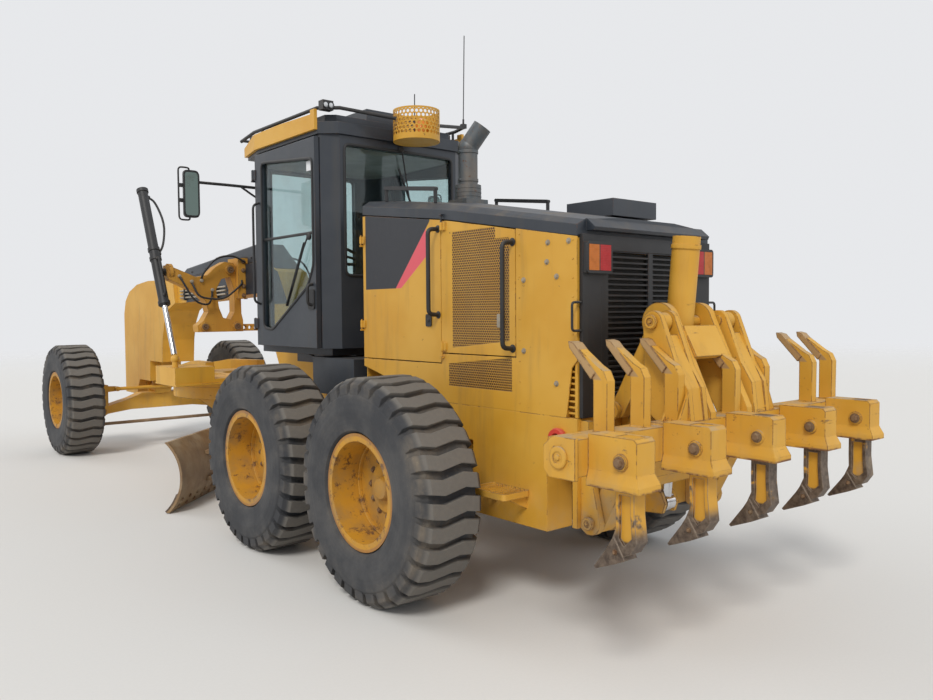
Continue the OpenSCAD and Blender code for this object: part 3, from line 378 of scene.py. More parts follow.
# the perforated panels get painted shade in their holes
meshPaint = paintShader("meshPaint", yellowLook, lambda s: paintedHoleShade(s, upperMesh))
hoodPaint = paintShader("hoodPaint", yellowLook, lambda s: paintedHoleShade(s, lowerMesh))
doorPaint = paintShader("doorPaint", yellowLook, doorMarks)
beamPaint = paintShader("beamPaint", yellowLook, beamMarks)
ripperLook = {**yellowLook, "chipEdge": 1.05, "chipNoise": 0.62, "dustLow": 1.6, "dust": 0.62,
              "rough": 0.52, "edge": 0.010}
ripperPaint = paintShader("ripperPaint", ripperLook)
carrierPaint = paintShader("carrierPaint", ripperLook, capMarks)
bladePaint = paintShader("bladePaint", {**yellowLook, "paint": (0.30, 0.19, 0.09),
                                        "faded": (0.20, 0.12, 0.06), "grime": (0.08, 0.05, 0.03),
                                        "chipEdge": 1.0, "rough": 0.5, "dust": 0.5})
darkPaint = paintShader("darkPaint", {**yellowLook, "paint": (0.020, 0.026, 0.036),
                                      "faded": (0.034, 0.040, 0.050), "grime": (0.050, 0.046, 0.040),
                                      "bareTone": (0.09, 0.08, 0.07), "rough": 0.36, "chipEdge": 0.32,
                                      "chipNoise": 0.75, "dust": 0.28})
blackPaint = paintShader("blackPaint", {**yellowLook, "paint": (0.012, 0.012, 0.013),
                                        "faded": (0.022, 0.022, 0.024), "grime": (0.04, 0.036, 0.03),
                                        "bareTone": (0.08, 0.07, 0.06), "rough": 0.45, "chipEdge": 0.3,
                                        "chipNoise": 0.76, "dust": 0.35, "edge": 0.003})
castPaint = paintShader("castPaint", {**yellowLook, "paint": (0.52, 0.25, 0.030),
                                      "faded": (0.60, 0.32, 0.050), "grime": (0.20, 0.09, 0.03),
                                      "rough": 0.55, "chipEdge": 0.9, "chipNoise": 0.62, "edge": 0.010})
castSteel = paintShader("castSteel", {**yellowLook, "paint": (0.17, 0.10, 0.05), "faded": (0.24, 0.15, 0.08),
                                      "grime": (0.06, 0.035, 0.02), "rough": 0.6, "edge": 0.008})


def wornSteelShader():
    s = Shader("wornSteel")
    soft = s.softNormal(0.008)
    edge = s.edges(soft)
    fine = s.noise(30.0, 6.0, 0.7)
    # the shanks on the left were used least and keep most of their paint
    kept = s.x.ease(0.40, 0.55) * 0.24
    left = ((s.noise(7.0, 4.0, 0.6) + kept).ease(0.56, 0.66) * s.z.ease(0.74, 0.84)).biggest(shankMarks(s))
    steel = s.mix(fine.ease(0.35, 0.65), (0.085, 0.06, 0.045), (0.20, 0.15, 0.11))
    colour = s.mix((left - edge * 0.8).clamp(), steel, yellowLook["paint"])
    colour = s.mix(edge * 0.6, colour, (0.33, 0.27, 0.21))
    colour = s.mix(s.noise(4.0).ease(0.55, 0.75) * 0.6, colour, dustTone)
    return s.finish(Base_Color=colour, Metallic=(0.55 - left * 0.5).clamp(), Roughness=0.38 + 0.3 * fine,
                    Normal=s.bump(fine, 0.0012, soft))


def chromeShader():
    s = Shader("chromeRod")
    smear = s.noise(11.0, 5.0, 0.7, (1.0, 1.0, 0.15))
    colour = s.mix(smear.ease(0.5, 0.8) * 0.5, (0.62, 0.62, 0.63), (0.30, 0.24, 0.18))
    return s.finish(Base_Color=colour, Metallic=0.95, Roughness=0.14 + 0.25 * smear.ease(0.45, 0.8),
                    Normal=s.bump(smear, 0.0002))


def exhaustShader():
    s = Shader("exhaustSteel")
    soft = s.softNormal(0.004)
    heat = s.noise(6.0, 5.0, 0.65, (1, 1, 0.4))
    colour = s.mix(heat.ease(0.4, 0.65), (0.10, 0.115, 0.125), (0.17, 0.15, 0.13))
    colour = s.mix(s.noise(28.0, 5.0, 0.7).ease(0.6, 0.7), colour, rustTone)
    return s.finish(Base_Color=colour, Metallic=0.6, Roughness=0.42 + 0.2 * heat,
                    Normal=s.bump(heat, 0.0008, soft))


def plasticShader(name, tone, rough=0.5, grain=0.0003, dust=0.25):
    s = Shader(name)
    soft = s.softNormal(0.003)
    grainy = s.noise(220.0, 2.0)
    settled = s.facing("Z").ease(0.3, 1.0) * s.noise(7.0, 4.0).ease(0.35, 0.7) * dust
    colour = s.mix(settled, tuple(tone), dustTone)
    colour = s.mix(s.noise(3.0).ease(0.4, 0.7) * 0.35, colour, tuple(min(1.0, t * 1.9 + 0.01) for t in tone))
    return s.finish(Base_Color=colour, Roughness=rough + 0.12 * grainy + 0.2 * settled,
                    Normal=s.bump(grainy, grain, soft))


def lensShader(name, tone):
    s = Shader(name)
    ribs = (s.z * 900.0).wave()
    dirty = s.noise(18.0, 4.0).ease(0.4, 0.75)
    colour = s.mix(dirty * 0.3, tone, tuple(t * 0.4 for t in tone))
    return s.finish(Base_Color=colour, Roughness=0.16 + 0.25 * dirty, Coat_Weight=0.6,
                    Normal=s.bump(ribs, 0.0004))


def tailLampShader():
    # amber outside, red inside, with a dark line between them
    s = Shader("tailLens")
    outer = abs(s.x).ease(0.474, 0.476)
    dirty = s.noise(18.0, 4.0).ease(0.4, 0.75)
    ribs = (s.x * 700.0).wave() * 0.5 + (s.z * 700.0).wave() * 0.5
    colour = s.mix(outer, (0.40, 0.003, 0.006), (0.50, 0.13, 0.001))
    colour = s.mix(abs(s.x).inside(0.471, 0.479) + dirty * 0.25, colour, (0.03, 0.015, 0.01))
    return s.finish(Base_Color=colour, Roughness=0.42 + 0.25 * dirty, Coat_Weight=0.1,
                    Normal=s.bump(ribs, 0.0004))


beaconGuard = {"middle": (-0.005, -0.348), "radius": 0.18, "pitch": 0.034, "size": 0.37, "z": (3.075, 3.262)}


def guardShader():
    # the band's paint, with rows of holes round the guard of the beacon,
    # worked out over the angle round its middle and the height
    s = Shader("guardPaint")
    soft = s.softNormal(0.004)
    look = beaconGuard
    dx = s.x - look["middle"][0]
    dy = s.y - look["middle"][1]
    angle = s.add("ShaderNodeMath", {"operation": "ARCTAN2"}, {0: dy, 1: dx}).outputs[0]
    along = Num(s, angle) * look["radius"]
    near = 1 - ((dx * dx + dy * dy) ** 0.5).ease(0.186, 0.190)
    left = dx.ease(-0.105, -0.100)
    opening = s.holes(along, s.z, look["pitch"], look["size"]) * s.z.inside(*look["z"]) * near * left
    fine = s.noise(24.0, 5.0, 0.7)
    colour = s.mix(s.noise(2.2).ease(0.35, 0.68), yellowLook["paint"], yellowLook["faded"])
    colour = s.mix(s.noise(14.0, 6.0, 0.8).ease(0.66, 0.72), colour, rustTone)
    colour = s.mix(s.facing("Z").ease(0.4, 0.9) * 0.5, colour, dustTone)
    return s.finish(Base_Color=colour, Roughness=0.42 + 0.2 * fine, Alpha=1 - opening,
                    Normal=s.bump(fine, 0.0005, soft))


def coreShader():
    # the fins of the radiator behind the grille: fine lines across and bent spots
    s = Shader("radiatorCore")
    fins = (s.z * 1400.0).wave() * 0.5 + 0.5
    spots = s.noise(16.0, 4.0).ease(0.55, 0.7)
    colour = s.mix(fins, (0.010, 0.010, 0.010), (0.035, 0.034, 0.032))
    colour = s.mix(spots * 0.5, colour, (0.09, 0.07, 0.05))
    return s.finish(Base_Color=colour, Roughness=0.6 + 0.2 * spots, Normal=s.bump(fins, 0.0015))


def mirrorShader():
    s = Shader("mirrorGlass")
    dirt = s.noise(9.0, 5.0, 0.7).ease(0.5, 0.8)
    colour = s.mix(dirt * 0.5, (0.16, 0.21, 0.19), (0.10, 0.11, 0.09))
    return s.finish(Base_Color=colour, Metallic=1.0 - dirt * 0.5, Roughness=0.05 + 0.3 * dirt,
                    Normal=s.bump(dirt, 0.0001))


def glassShader():
    s = Shader("cabGlass")
    dirt = s.noise(3.2, 5.0, 0.7).ease(0.45, 0.85) * 0.09 + s.noise(30.0, 3.0).ease(0.6, 0.8) * 0.05
    gloss = s.add("ShaderNodeBsdfGlossy", {}, {"Color": (0.9, 0.94, 0.97, 1), "Roughness": 0.03})
    clear = s.add("ShaderNodeBsdfTransparent", {}, {"Color": (0.80, 0.87, 0.87, 1)})
    # mirrors 4 in 100 seen square on and everything seen along it, the same from both sides
    away = Num(s, s.add("ShaderNodeLayerWeight", {}, {"Blend": 0.5}).outputs["Facing"])
    mirrored = 0.04 + 0.96 * away ** 5.0
    pane = s.add("ShaderNodeMixShader", {}, {0: mirrored, 1: clear.outputs[0], 2: gloss.outputs[0]})
    s.finish(Base_Color=dustTone, Roughness=0.7)
    full = s.add("ShaderNodeMixShader", {}, {0: dirt, 1: pane.outputs[0], 2: s.surface.outputs[0]})
    s.feed(s.end.inputs["Surface"], full.outputs[0])
    return s.material


def seatShader():
    s = Shader("seatFabric")
    weave = ((s.x * 900.0).wave() * (s.z * 900.0).wave()) * 0.5 + 0.5
    worn = s.noise(6.0, 4.0)
    colour = s.mix(weave, (0.018, 0.018, 0.020), (0.045, 0.045, 0.050))
    colour = s.mix(worn.ease(0.5, 0.8) * 0.4, colour, (0.10, 0.09, 0.08))
    return s.finish(Base_Color=colour, Roughness=0.85 + 0.1 * worn, Normal=s.bump(weave, 0.0006))


def engineShader():
    s = Shader("enginePaint")
    soft = s.softNormal(0.01)
    grit = s.noise(20.0, 6.0, 0.7)
    colour = s.mix(grit.ease(0.4, 0.7), (0.05, 0.05, 0.05), (0.12, 0.10, 0.08))
    return s.finish(Base_Color=colour, Roughness=0.6 + 0.2 * grit, Normal=s.bump(grit, 0.003, soft))


wheels = {"front_left": (1.07, -6.123), "front_right": (-1.07, -6.123), "mid_left": (1.07, -0.7615),
          "mid_right": (-1.07, -0.7615), "rear_left": (1.07, 0.7615), "rear_right": (-1.07, 0.7615)}
wheelHigh = 0.672
tyreLook = {"groove": 0.644, "tip": 0.669, "side": (0.036, 0.038, 0.043), "greyed": (0.066, 0.067, 0.070),
            "worn": (0.175, 0.160, 0.140), "mud": (0.30, 0.235, 0.160), "rings": 230.0}


def wheelRadius(s, centre):
    # distance from the wheel's axle: root of dy * dy + dz * dz
    dy = s.y - centre[1]
    dz = s.z - wheelHigh
    return (dy * dy + dz * dz) ** 0.5


def tyreShader(name, centre):
    s = Shader("rubber_" + name)
    soft = s.softNormal(0.010)
    edge = s.edges(soft)
    radius = wheelRadius(s, centre)
    across = abs(s.x - centre[0])
    fine = s.noise(38.0, 6.0, 0.75)
    broad = s.noise(3.5, 4.0, 0.6)
    colour = s.mix(broad.ease(0.35, 0.7), tyreLook["side"], tyreLook["greyed"])
    groove = tyreLook["groove"]
    tread = radius.ease(groove, tyreLook["tip"]) * (1 - across.ease(0.17, 0.21))
    floor = (1 - radius.ease(groove - 0.004, groove + 0.012)) * radius.ease(0.60, 0.63)
    shoulder = radius.ease(0.50, 0.60) * (1 - tread)
    colour = s.mix(tread * (0.55 + 0.5 * fine), colour, tyreLook["worn"])
    flange = (1 - radius.ease(0.33, 0.42)) * 0.22
    mud = (floor * 0.20 + shoulder * 0.20 + flange + 0.10) * broad.ease(0.30, 0.78)
    colour = s.mix((mud + 0.16 * fine.ease(0.5, 0.75)).clamp(), colour, tyreLook["mud"])
    colour = s.mix(edge * tread * 0.5, colour, (0.20, 0.19, 0.17))
    side = (1 - radius.ease(0.56, 0.60)) * radius.ease(0.36, 0.38)
    rings = ((radius * tyreLook["rings"]).wave() * 0.5 + 0.5) * side
    height = rings * 0.25 + fine * 0.55 + s.cells(60.0) * 0.25
    return s.finish(Base_Color=colour, Roughness=0.78 + 0.14 * fine, Normal=s.bump(height, 0.0016, soft))


rimLook = {"paint": (0.56, 0.275, 0.020), "worn": (0.40, 0.20, 0.022), "rust": (0.115, 0.050, 0.022),
           "edge": (0.30, 0.125, 0.040)}


def rimShader(name, centre):
    s = Shader("rimPaint_" + name)
    soft = s.softNormal(0.005)
    edge = s.edges(soft)
    radius = wheelRadius(s, centre)
    fine = s.noise(32.0, 5.0, 0.7)
    broad = s.noise(5.0, 4.0)
    colour = s.mix(broad.ease(0.4, 0.7), rimLook["paint"], rimLook["worn"])
    deep = radius.ease(0.17, 0.30)
    rusty = (deep * 0.30 + edge * 0.6 + fine * 0.70) * s.noise(13.0, 6.0, 0.75).ease(0.40, 0.66)
    colour = s.mix(rusty.ease(0.30, 0.72), colour, rimLook["rust"])
    colour = s.mix(radius.ease(0.325, 0.335) * (0.35 + 0.6 * fine), colour, rimLook["edge"])
    colour = s.mix(broad.ease(0.35, 0.75) * 0.22, colour, dustTone)
    return s.finish(Base_Color=colour, Roughness=0.48 + 0.25 * fine, Normal=s.bump(fine, 0.0010, soft))


wornSteel = wornSteelShader()
chromeRod = chromeShader()
exhaustSteel = exhaustShader()
blackPlastic = plasticShader("blackPlastic", (0.014, 0.014, 0.015))
rubberHose = plasticShader("rubberHose", (0.016, 0.016, 0.017), 0.58, 0.0005, 0.5)
tailLens = tailLampShader()
guardPaint = guardShader()
radiatorCore = coreShader()
mirrorGlass = mirrorShader()
headliner = plasticShader("headliner", (0.30, 0.30, 0.29), 0.85, 0.0008, 0.0)
stickerWhite = plasticShader("stickerWhite", (0.68, 0.70, 0.72), 0.5, 0.0001, 0.1)
zincSteel = plasticShader("zincSteel", (0.30, 0.26, 0.20), 0.42, 0.0004, 0.3)
dullRed = plasticShader("dullRed", (0.50, 0.035, 0.02), 0.5, 0.0004, 0.3)
amberLens = lensShader("amberLens", (0.80, 0.24, 0.010))
clearLens = lensShader("clearLens", (0.62, 0.64, 0.66))
cabGlass = glassShader()
seatFabric = seatShader()
enginePaint = engineShader()
print("materials made")

nodeLooks = {"rear_frame": yellowPaint, "axle_housing": yellowPaint, "engine_block": enginePaint,
             "hood_panels": hoodPaint, "hood_top": darkPaint, "rear_grille": blackPaint,
             "tail_lamps": tailLens, "exhaust_stack": exhaustSteel, "hood_rails": blackPaint,
             "ripper_bracket": ripperPaint, "side_tanks": darkPaint, "front_frame": beamPaint,
             "front_axle": yellowPaint, "lift_arms": castPaint, "cab_shell": darkPaint,
             "cab_roof": darkPaint, "cab_seat": seatFabric, "mirrors": blackPlastic,
             "lean_bar": yellowPaint, "tie_end": castSteel, "tie_rod": castSteel, "drawbar": yellowPaint,
             "circle": ripperPaint, "tilt_bracket": ripperPaint, "blade": bladePaint,
             "lift_barrels": blackPaint, "lift_rods": chromeRod, "ripper_arms": ripperPaint,
             "ripper_links": ripperPaint, "ripper_carrier": carrierPaint, "ripper_shanks": wornSteel,
             "ripper_barrel": ripperPaint, "ripper_rod": chromeRod, "roof_visor": guardPaint,
             "roof_rails": blackPaint, "antennas": blackPlastic}
sideLooks = {"tandem_case": yellowPaint, "engine_door": doorPaint, "mesh_door": meshPaint,
             "cab_door": darkPaint, "lean_bracket": yellowPaint, "knuckle": castSteel}
for root, material in sideLooks.items():
    for side in ("left", "right"):
        nodeLooks[root + "_" + side] = material
for wheel, centre in wheels.items():
    nodeLooks["tyre_" + wheel] = tyreShader(wheel, centre)
    nodeLooks["rim_" + wheel] = rimShader(wheel, centre)
for name, obj in nodes.items():
    obj.data.materials.clear()
    obj.data.materials.append(nodeLooks[name])
print("CAD nodes dressed")


# shapes worked out with numpy, in metres, measured from the middle of the tandem

def gridFaces(rows, cols, closeRows, closeCols):
    # squares between neighbouring points of a grid, joined round where it closes
    i, j = np.meshgrid(np.arange(rows if closeRows else rows - 1),
                       np.arange(cols if closeCols else cols - 1), indexing="ij")
    i = i.ravel()
    j = j.ravel()
    below = (i + 1) % rows
    beside = (j + 1) % cols
    return np.stack([i * cols + j, i * cols + beside, below * cols + beside, below * cols + j], 1).tolist()


def joined(*shapes):
    # several shapes as one: their points one after another, with the faces counted on
    points = []
    faces = []
    count = 0
    for shape in shapes:
        points.append(shape[0])
        faces += [[corner + count for corner in face] for face in shape[1]]
        count += len(shape[0])
    return np.concatenate(points), faces


def mirrored(shape):
    # the same shape on the other side: x becomes -x
    return shape[0] * np.array([-1.0, 1.0, 1.0]), shape[1]


def bothSides(shape):
    return joined(shape, mirrored(shape))


bendSteps = 5  # points on each rounded corner
longestBend = 0.46  # of the way to the next corner


def bent(corners, radius, closed=False):
    # a line through corners, each rounded: (1-t)^2 * start + 2t(1-t) * corner + t^2 * end,
    # with start and end a radius away
    corners = np.asarray(corners, float)
    back = np.roll(corners, 1, 0) - corners
    ahead = np.roll(corners, -1, 0) - corners
    backLong = np.linalg.norm(back, axis=1, keepdims=True)
    aheadLong = np.linalg.norm(ahead, axis=1, keepdims=True)
    start = corners + back / backLong * np.minimum(radius, longestBend * backLong)
    end = corners + ahead / aheadLong * np.minimum(radius, longestBend * aheadLong)
    t = np.linspace(0, 1, bendSteps)[None, :, None]
    line = (1 - t) ** 2 * start[:, None] + 2 * t * (1 - t) * corners[:, None] + t ** 2 * end[:, None]
    if closed:
        return line.reshape(-1, corners.shape[1])
    return np.concatenate([corners[:1], line[1:-1].reshape(-1, corners.shape[1]), corners[-1:]])


def carried(profile, path, over, closed=False):
    # an outline carried along a path: point = path + u * side + v * over, both square to the path
    path = np.asarray(path, float)
    profile = np.asarray(profile, float)
    ahead = np.roll(path, -1, 0) - np.roll(path, 1, 0) if closed else np.gradient(path, axis=0)
    ahead = ahead / np.linalg.norm(ahead, axis=1, keepdims=True)
    side = np.cross(ahead, np.asarray(over, float))
    side = side / np.linalg.norm(side, axis=1, keepdims=True)
    up = np.cross(side, ahead)
    points = path[:, None] + side[:, None] * profile[None, :, :1] + up[:, None] * profile[None, :, 1:]
    rows = len(path)
    cols = len(profile)
    faces = gridFaces(rows, cols, closed, True)
    if not closed:
        faces += [list(range(cols)), list(range((rows - 1) * cols, rows * cols))]
    return points.reshape(-1, 3), faces


def oblong(low, high):
    # the outline between two opposite corners
    return [(low[0], low[1]), (high[0], low[1]), (high[0], high[1]), (low[0], high[1])]


def ring(radius, sides=12):
    # a circle as an outline: (r cos a, r sin a)
    angle = np.linspace(0, 2 * np.pi, sides, endpoint=False)
    return np.stack([radius * np.cos(angle), radius * np.sin(angle)], 1)


def tube(corners, radius, bend, over, sides=12):
    # a round bar along rounded corners
    return carried(ring(radius, sides), bent(corners, bend), over)


def grip(foot, reach, y, ends, lean, radius, bend):
    # a handle that stands off a side: from its foot out to its reach, up, and back in
    low, high = ends
    return tube([(foot, y, low), (reach, y, low + lean), (reach, y, high - lean), (foot, y, high)],
                radius, bend, yAxis)


def turned(line, base, axis, sides=32, closed=False):
    # a line of (height, radius) turned round an axis:
    # base + height * axis + radius * (cos a * side + sin a * up);
    # a closed line ends where it starts, an open one gets flat ends
    axis = np.asarray(axis, float)
    axis = axis / np.linalg.norm(axis)
    side = np.cross(axis, (0.31, 0.22, 0.92))
    side = side / np.linalg.norm(side)
    up = np.cross(axis, side)
    angle = np.linspace(0, 2 * np.pi, sides, endpoint=False)
    around = np.cos(angle)[:, None] * side + np.sin(angle)[:, None] * up
    height, radius = np.asarray(line, float).T
    points = np.asarray(base, float) + height[:, None, None] * axis + radius[:, None, None] * around
    faces = gridFaces(len(height), sides, closed, True)
    if closed:
        return points.reshape(-1, 3), faces
    last = (len(height) - 1) * sides
    faces += [list(range(sides))] if radius[0] > 0 else []
    faces += [list(range(last, last + sides))] if radius[-1] > 0 else []
    return points.reshape(-1, 3), faces


def plate(outline, axis, low, high):
    # a flat outline given a thickness: point = outline with low or high along the axis
    outline = np.asarray(outline, float)
    rest = [i for i in range(3) if i != axis]
    points = np.zeros((2, len(outline), 3))
    points[:, :, rest] = outline
    points[0, :, axis] = low
    points[1, :, axis] = high
    count = len(outline)
    caps = [list(range(count)), list(range(count, 2 * count))]
    return points.reshape(-1, 3), gridFaces(2, count, False, True) + caps


def box(low, high, corner=0.0):
    # a block whose upright edges may be rounded
    outline = oblong(low, high)
    return plate(bent(outline, corner, True) if corner else outline, 2, low[2], high[2])


def powered(value, power):
    # a power that keeps the sign
    return np.sign(value) * np.abs(value) ** power


def cushion(middle, size, crown, seams, sharp=0.32):
    # a crowned pad: middle + size / 2 * (signed powers of cos and sin of two angles),
    # with a bulge over the middle and grooves at the seams
    rows = 33
    cols = 72
    v, u = np.meshgrid(np.linspace(-np.pi / 2, np.pi / 2, rows),
                       np.linspace(-np.pi, np.pi, cols, endpoint=False), indexing="ij")
    x = powered(np.cos(v), sharp) * powered(np.cos(u), sharp)
    y = powered(np.cos(v), sharp) * powered(np.sin(u), sharp)
    z = powered(np.sin(v), sharp)
    bulge = crown * (1 - x ** 2) * (1 - y ** 2)
    groove = sum(0.10 * np.exp(-((x - seam) / 0.03) ** 2) for seam in seams)
    z = z * (1 + bulge - groove)
    points = np.stack([x, y, z], 2) * np.asarray(size) / 2 + np.asarray(middle)
    return points.reshape(-1, 3), gridFaces(rows, cols, False, True)


def copies(shape, places, axis):
    # the same shape at many places, turned from +Z to the axis: place + turn * point
    points, faces = shape
    turn = np.array(Vector(zAxis).rotation_difference(Vector(axis)).to_matrix())
    places = np.asarray(places, float)
    moved = places[:, None] + (points @ turn.T)[None]
    count = len(points)
    every = [[corner + k * count for corner in face] for k in range(len(places)) for face in faces]
    return moved.reshape(-1, 3), every


def boltHead(size):
    # washer and hexagonal head, standing on +Z
    washer = turned([(0, size * 1.5), (size * 0.25, size * 1.42)], (0, 0, 0), zAxis, 12)
    head = turned([(size * 0.2, size), (size * 0.9, size), (size * 1.1, size * 0.8)], (0, 0, 0), zAxis, 6)
    return joined(washer, head)


def rivetHead(size):
    # a low dome: radius falls as the height rises
    return turned([(0, size), (size * 0.35, size * 0.8), (size * 0.5, size * 0.35), (size * 0.52, 0)],
                  (0, 0, 0), zAxis, 10)


meshLook = {"merge": 1e-6, "sharp": 0.6, "bevelFrom": 0.7, "bevelSteps": 2}


def makePiece(name, shape, material, body, bevel=0.0):
    points = np.array(shape[0], float)
    points[:, 1] += tandemY
    mesh = bpy.data.meshes.new(name)
    mesh.from_pydata(points.tolist(), [], shape[1])
    form = bmesh.new()
    form.from_mesh(mesh)
    bmesh.ops.remove_doubles(form, verts=form.verts, dist=meshLook["merge"])
    bmesh.ops.dissolve_degenerate(form, edges=form.edges, dist=meshLook["merge"])
    bmesh.ops.recalc_face_normals(form, faces=form.faces)
    form.to_mesh(mesh)
    form.free()
    mesh.polygons.foreach_set("use_smooth", [True] * len(mesh.polygons))
    mesh.set_sharp_from_angle(angle=meshLook["sharp"])
    mesh.materials.append(material)
    obj = bpy.data.objects.new(name, mesh)
    bpy.context.scene.collection.objects.link(obj)
    if bevel:
        soft = obj.modifiers.new("softEdges", "BEVEL")
        soft.width = bevel
        soft.segments = meshLook["bevelSteps"]
        soft.limit_method = "ANGLE"
        soft.angle_limit = meshLook["bevelFrom"]
    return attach(obj, body)


def makePair(name, shape, material, body, bevel=0.0):
    # one piece with the shape on both sides, riding on one body
    return makePiece(name, bothSides(shape), material, body, bevel)


def onSides(name, shape, material, root, bevel=0.0):
    # one piece on each side, riding on the left and the right body
    makePiece(name + "Left", shape, material, root + "_left", bevel)
    makePiece(name + "Right", mirrored(shape), material, root + "_right", bevel)


def grown(outline, by):
    # an outline made a little larger round its middle
    outline = np.asarray(outline, float)
    middle = (outline.min(0) + outline.max(0)) / 2
    return middle + (outline - middle) * (1 + 2 * by / (outline.max(0) - outline.min(0)))


def upright(outline, axis, at):
    # an outline stood up at one place along an axis
    points = np.zeros((len(outline), 3))
    points[:, [i for i in range(3) if i != axis]] = outline
    points[:, axis] = at
    return points


# the cab's glass with its rubber seals

glassCorner = 0.05
glassLap = 0.010  # how far a pane reaches under its seal
sealLap = 0.004
sealProfile = [(-0.011, -0.002), (-0.011, 0.004), (-0.005, 0.008), (0.005, 0.008), (0.011, 0.004),
               (0.011, -0.002)]
doorGlass = {"outline": [(-1.520, 2.960), (-0.705, 2.880), (-0.685, 2.850), (-0.685, 2.080),
                         (-0.780, 1.925), (-1.370, 1.590), (-1.520, 1.610)], "x": (0.700, 0.706),
             "face": 0.7252, "seam": 2.33}
rearGlass = {"outline": oblong((-0.515, 2.010), (0.515, 2.990)), "y": (-0.585, -0.579), "face": -0.5548}
frontGlass = {"outline": oblong((-0.430, 1.540), (0.430, 2.970)), "y": (-1.940, -1.934), "face": -1.9602}


def makeGlass():
    look = doorGlass
    pane = plate(bent(grown(look["outline"], glassLap), glassCorner, True), 0, *look["x"])
    onSides("doorGlass", pane, cabGlass, "cab_door")
    edge = bent(grown(look["outline"], sealLap), glassCorner, True)
    seal = carried(sealProfile, upright(edge, 0, look["face"])[::-1], xAxis, True)
    out = look["x"][1] + 0.001
    strip = carried(sealProfile, [(out, -1.525, look["seam"]), (out, -0.68, look["seam"])], xAxis)
    onSides("doorSeal", joined(seal, strip), blackPlastic, "cab_door")
    for name, look, way in (("rear", rearGlass, 1), ("front", frontGlass, -1)):
        pane = plate(bent(grown(look["outline"], glassLap), glassCorner, True), 1, *look["y"])
        makePiece(name + "Glass", pane, cabGlass, "front_frame")
        edge = bent(grown(look["outline"], sealLap), glassCorner, True)
        seal = carried(sealProfile, upright(edge, 1, look["face"]), (0, way, 0), True)
        makePiece(name + "Seal", seal, blackPlastic, "front_frame")


makeGlass()


# inside the cab: headliner, console, steering wheel, levers and seat

cabInside = {"headliner": ((-0.60, -1.88, 2.990), (0.60, -0.64, 3.004)),
             "mat": ((-0.56, -1.88, 1.491), (0.56, -0.62, 1.500)),
             "console": [(-0.13, -0.09), (0.13, -0.09), (0.10, 0.09), (-0.10, 0.09)],
             "consolePath": [(0, -1.80, 1.50), (0, -1.78, 1.85), (0, -1.62, 2.12)],
             "wheel": (0.0, -1.50, 2.235), "wheelRadius": 0.185, "wheelBar": 0.014,
             "tilt": (0.0, 0.50, 0.866), "hub": [(-0.05, 0.03), (0.0, 0.045), (0.02, 0.04), (0.03, 0)],
             "spokes": (0.5, 2.6, 4.71), "spoke": oblong((-0.016, -0.006), (0.016, 0.006)),
             "column": 0.03, "columnEnds": (0.02, 0.17),
             "pod": ((0.295, -1.32, 1.492), (0.405, -0.92, 2.02)), "lever": (0.35, -1.27, 2.018),
             "leverLine": [(0, 0.016), (0.03, 0.012), (0.09, 0.010), (0.10, 0.022), (0.17, 0.026),
                           (0.19, 0.015), (0.192, 0)]}


def makeCabInside():
    look = cabInside
    makePiece("headliner", box(*look["headliner"], 0.06), headliner, "front_frame")
    console = carried(look["console"], bent(look["consolePath"], 0.12), yAxis)
    makePiece("console", console, blackPlastic, "front_frame", 0.012)
    axis = np.array(look["tilt"])
    middle = np.array(look["wheel"])
    side = np.array([1.0, 0.0, 0.0])
    up = np.cross(axis, side)
    angle = np.linspace(0, 2 * np.pi, 40, endpoint=False)[:, None]
    rim = middle + look["wheelRadius"] * (np.cos(angle) * side + np.sin(angle) * up)
    shapes = [carried(ring(look["wheelBar"], 10), rim, axis, True), turned(look["hub"], middle, axis, 24)]
    for turn in look["spokes"]:
        far = middle + look["wheelRadius"] * (math.cos(turn) * side + math.sin(turn) * up)
        shapes.append(carried(look["spoke"], [middle, (middle + far) / 2, far], axis))
    column = [middle - axis * down for down in look["columnEnds"]]
    shapes.append(carried(ring(look["column"], 12), column, xAxis))
    makePiece("steeringWheel", joined(*shapes), blackPlastic, "front_frame")
    pod = joined(box(*look["pod"], 0.03), turned(look["leverLine"], look["lever"], zAxis, 16))
    makePair("leverPods", pod, blackPlastic, "front_frame", 0.01)
    makePiece("floorMat", box(*look["mat"], 0.03), rubberHose, "front_frame")


makeCabInside()

seatLook = {"fill": 0.85, "folds": 13, "base": ((-0.17, -1.27, 1.491), (0.17, -0.93, 1.80)),
            "pad": ((0, -1.09, 1.865), (0.47, 0.40, 0.13)),
            "back": ((0, -0.84, 2.20), (0.46, 0.115, 0.62)),
            "head": ((0, -0.84, 2.535), (0.26, 0.10, 0.125))}


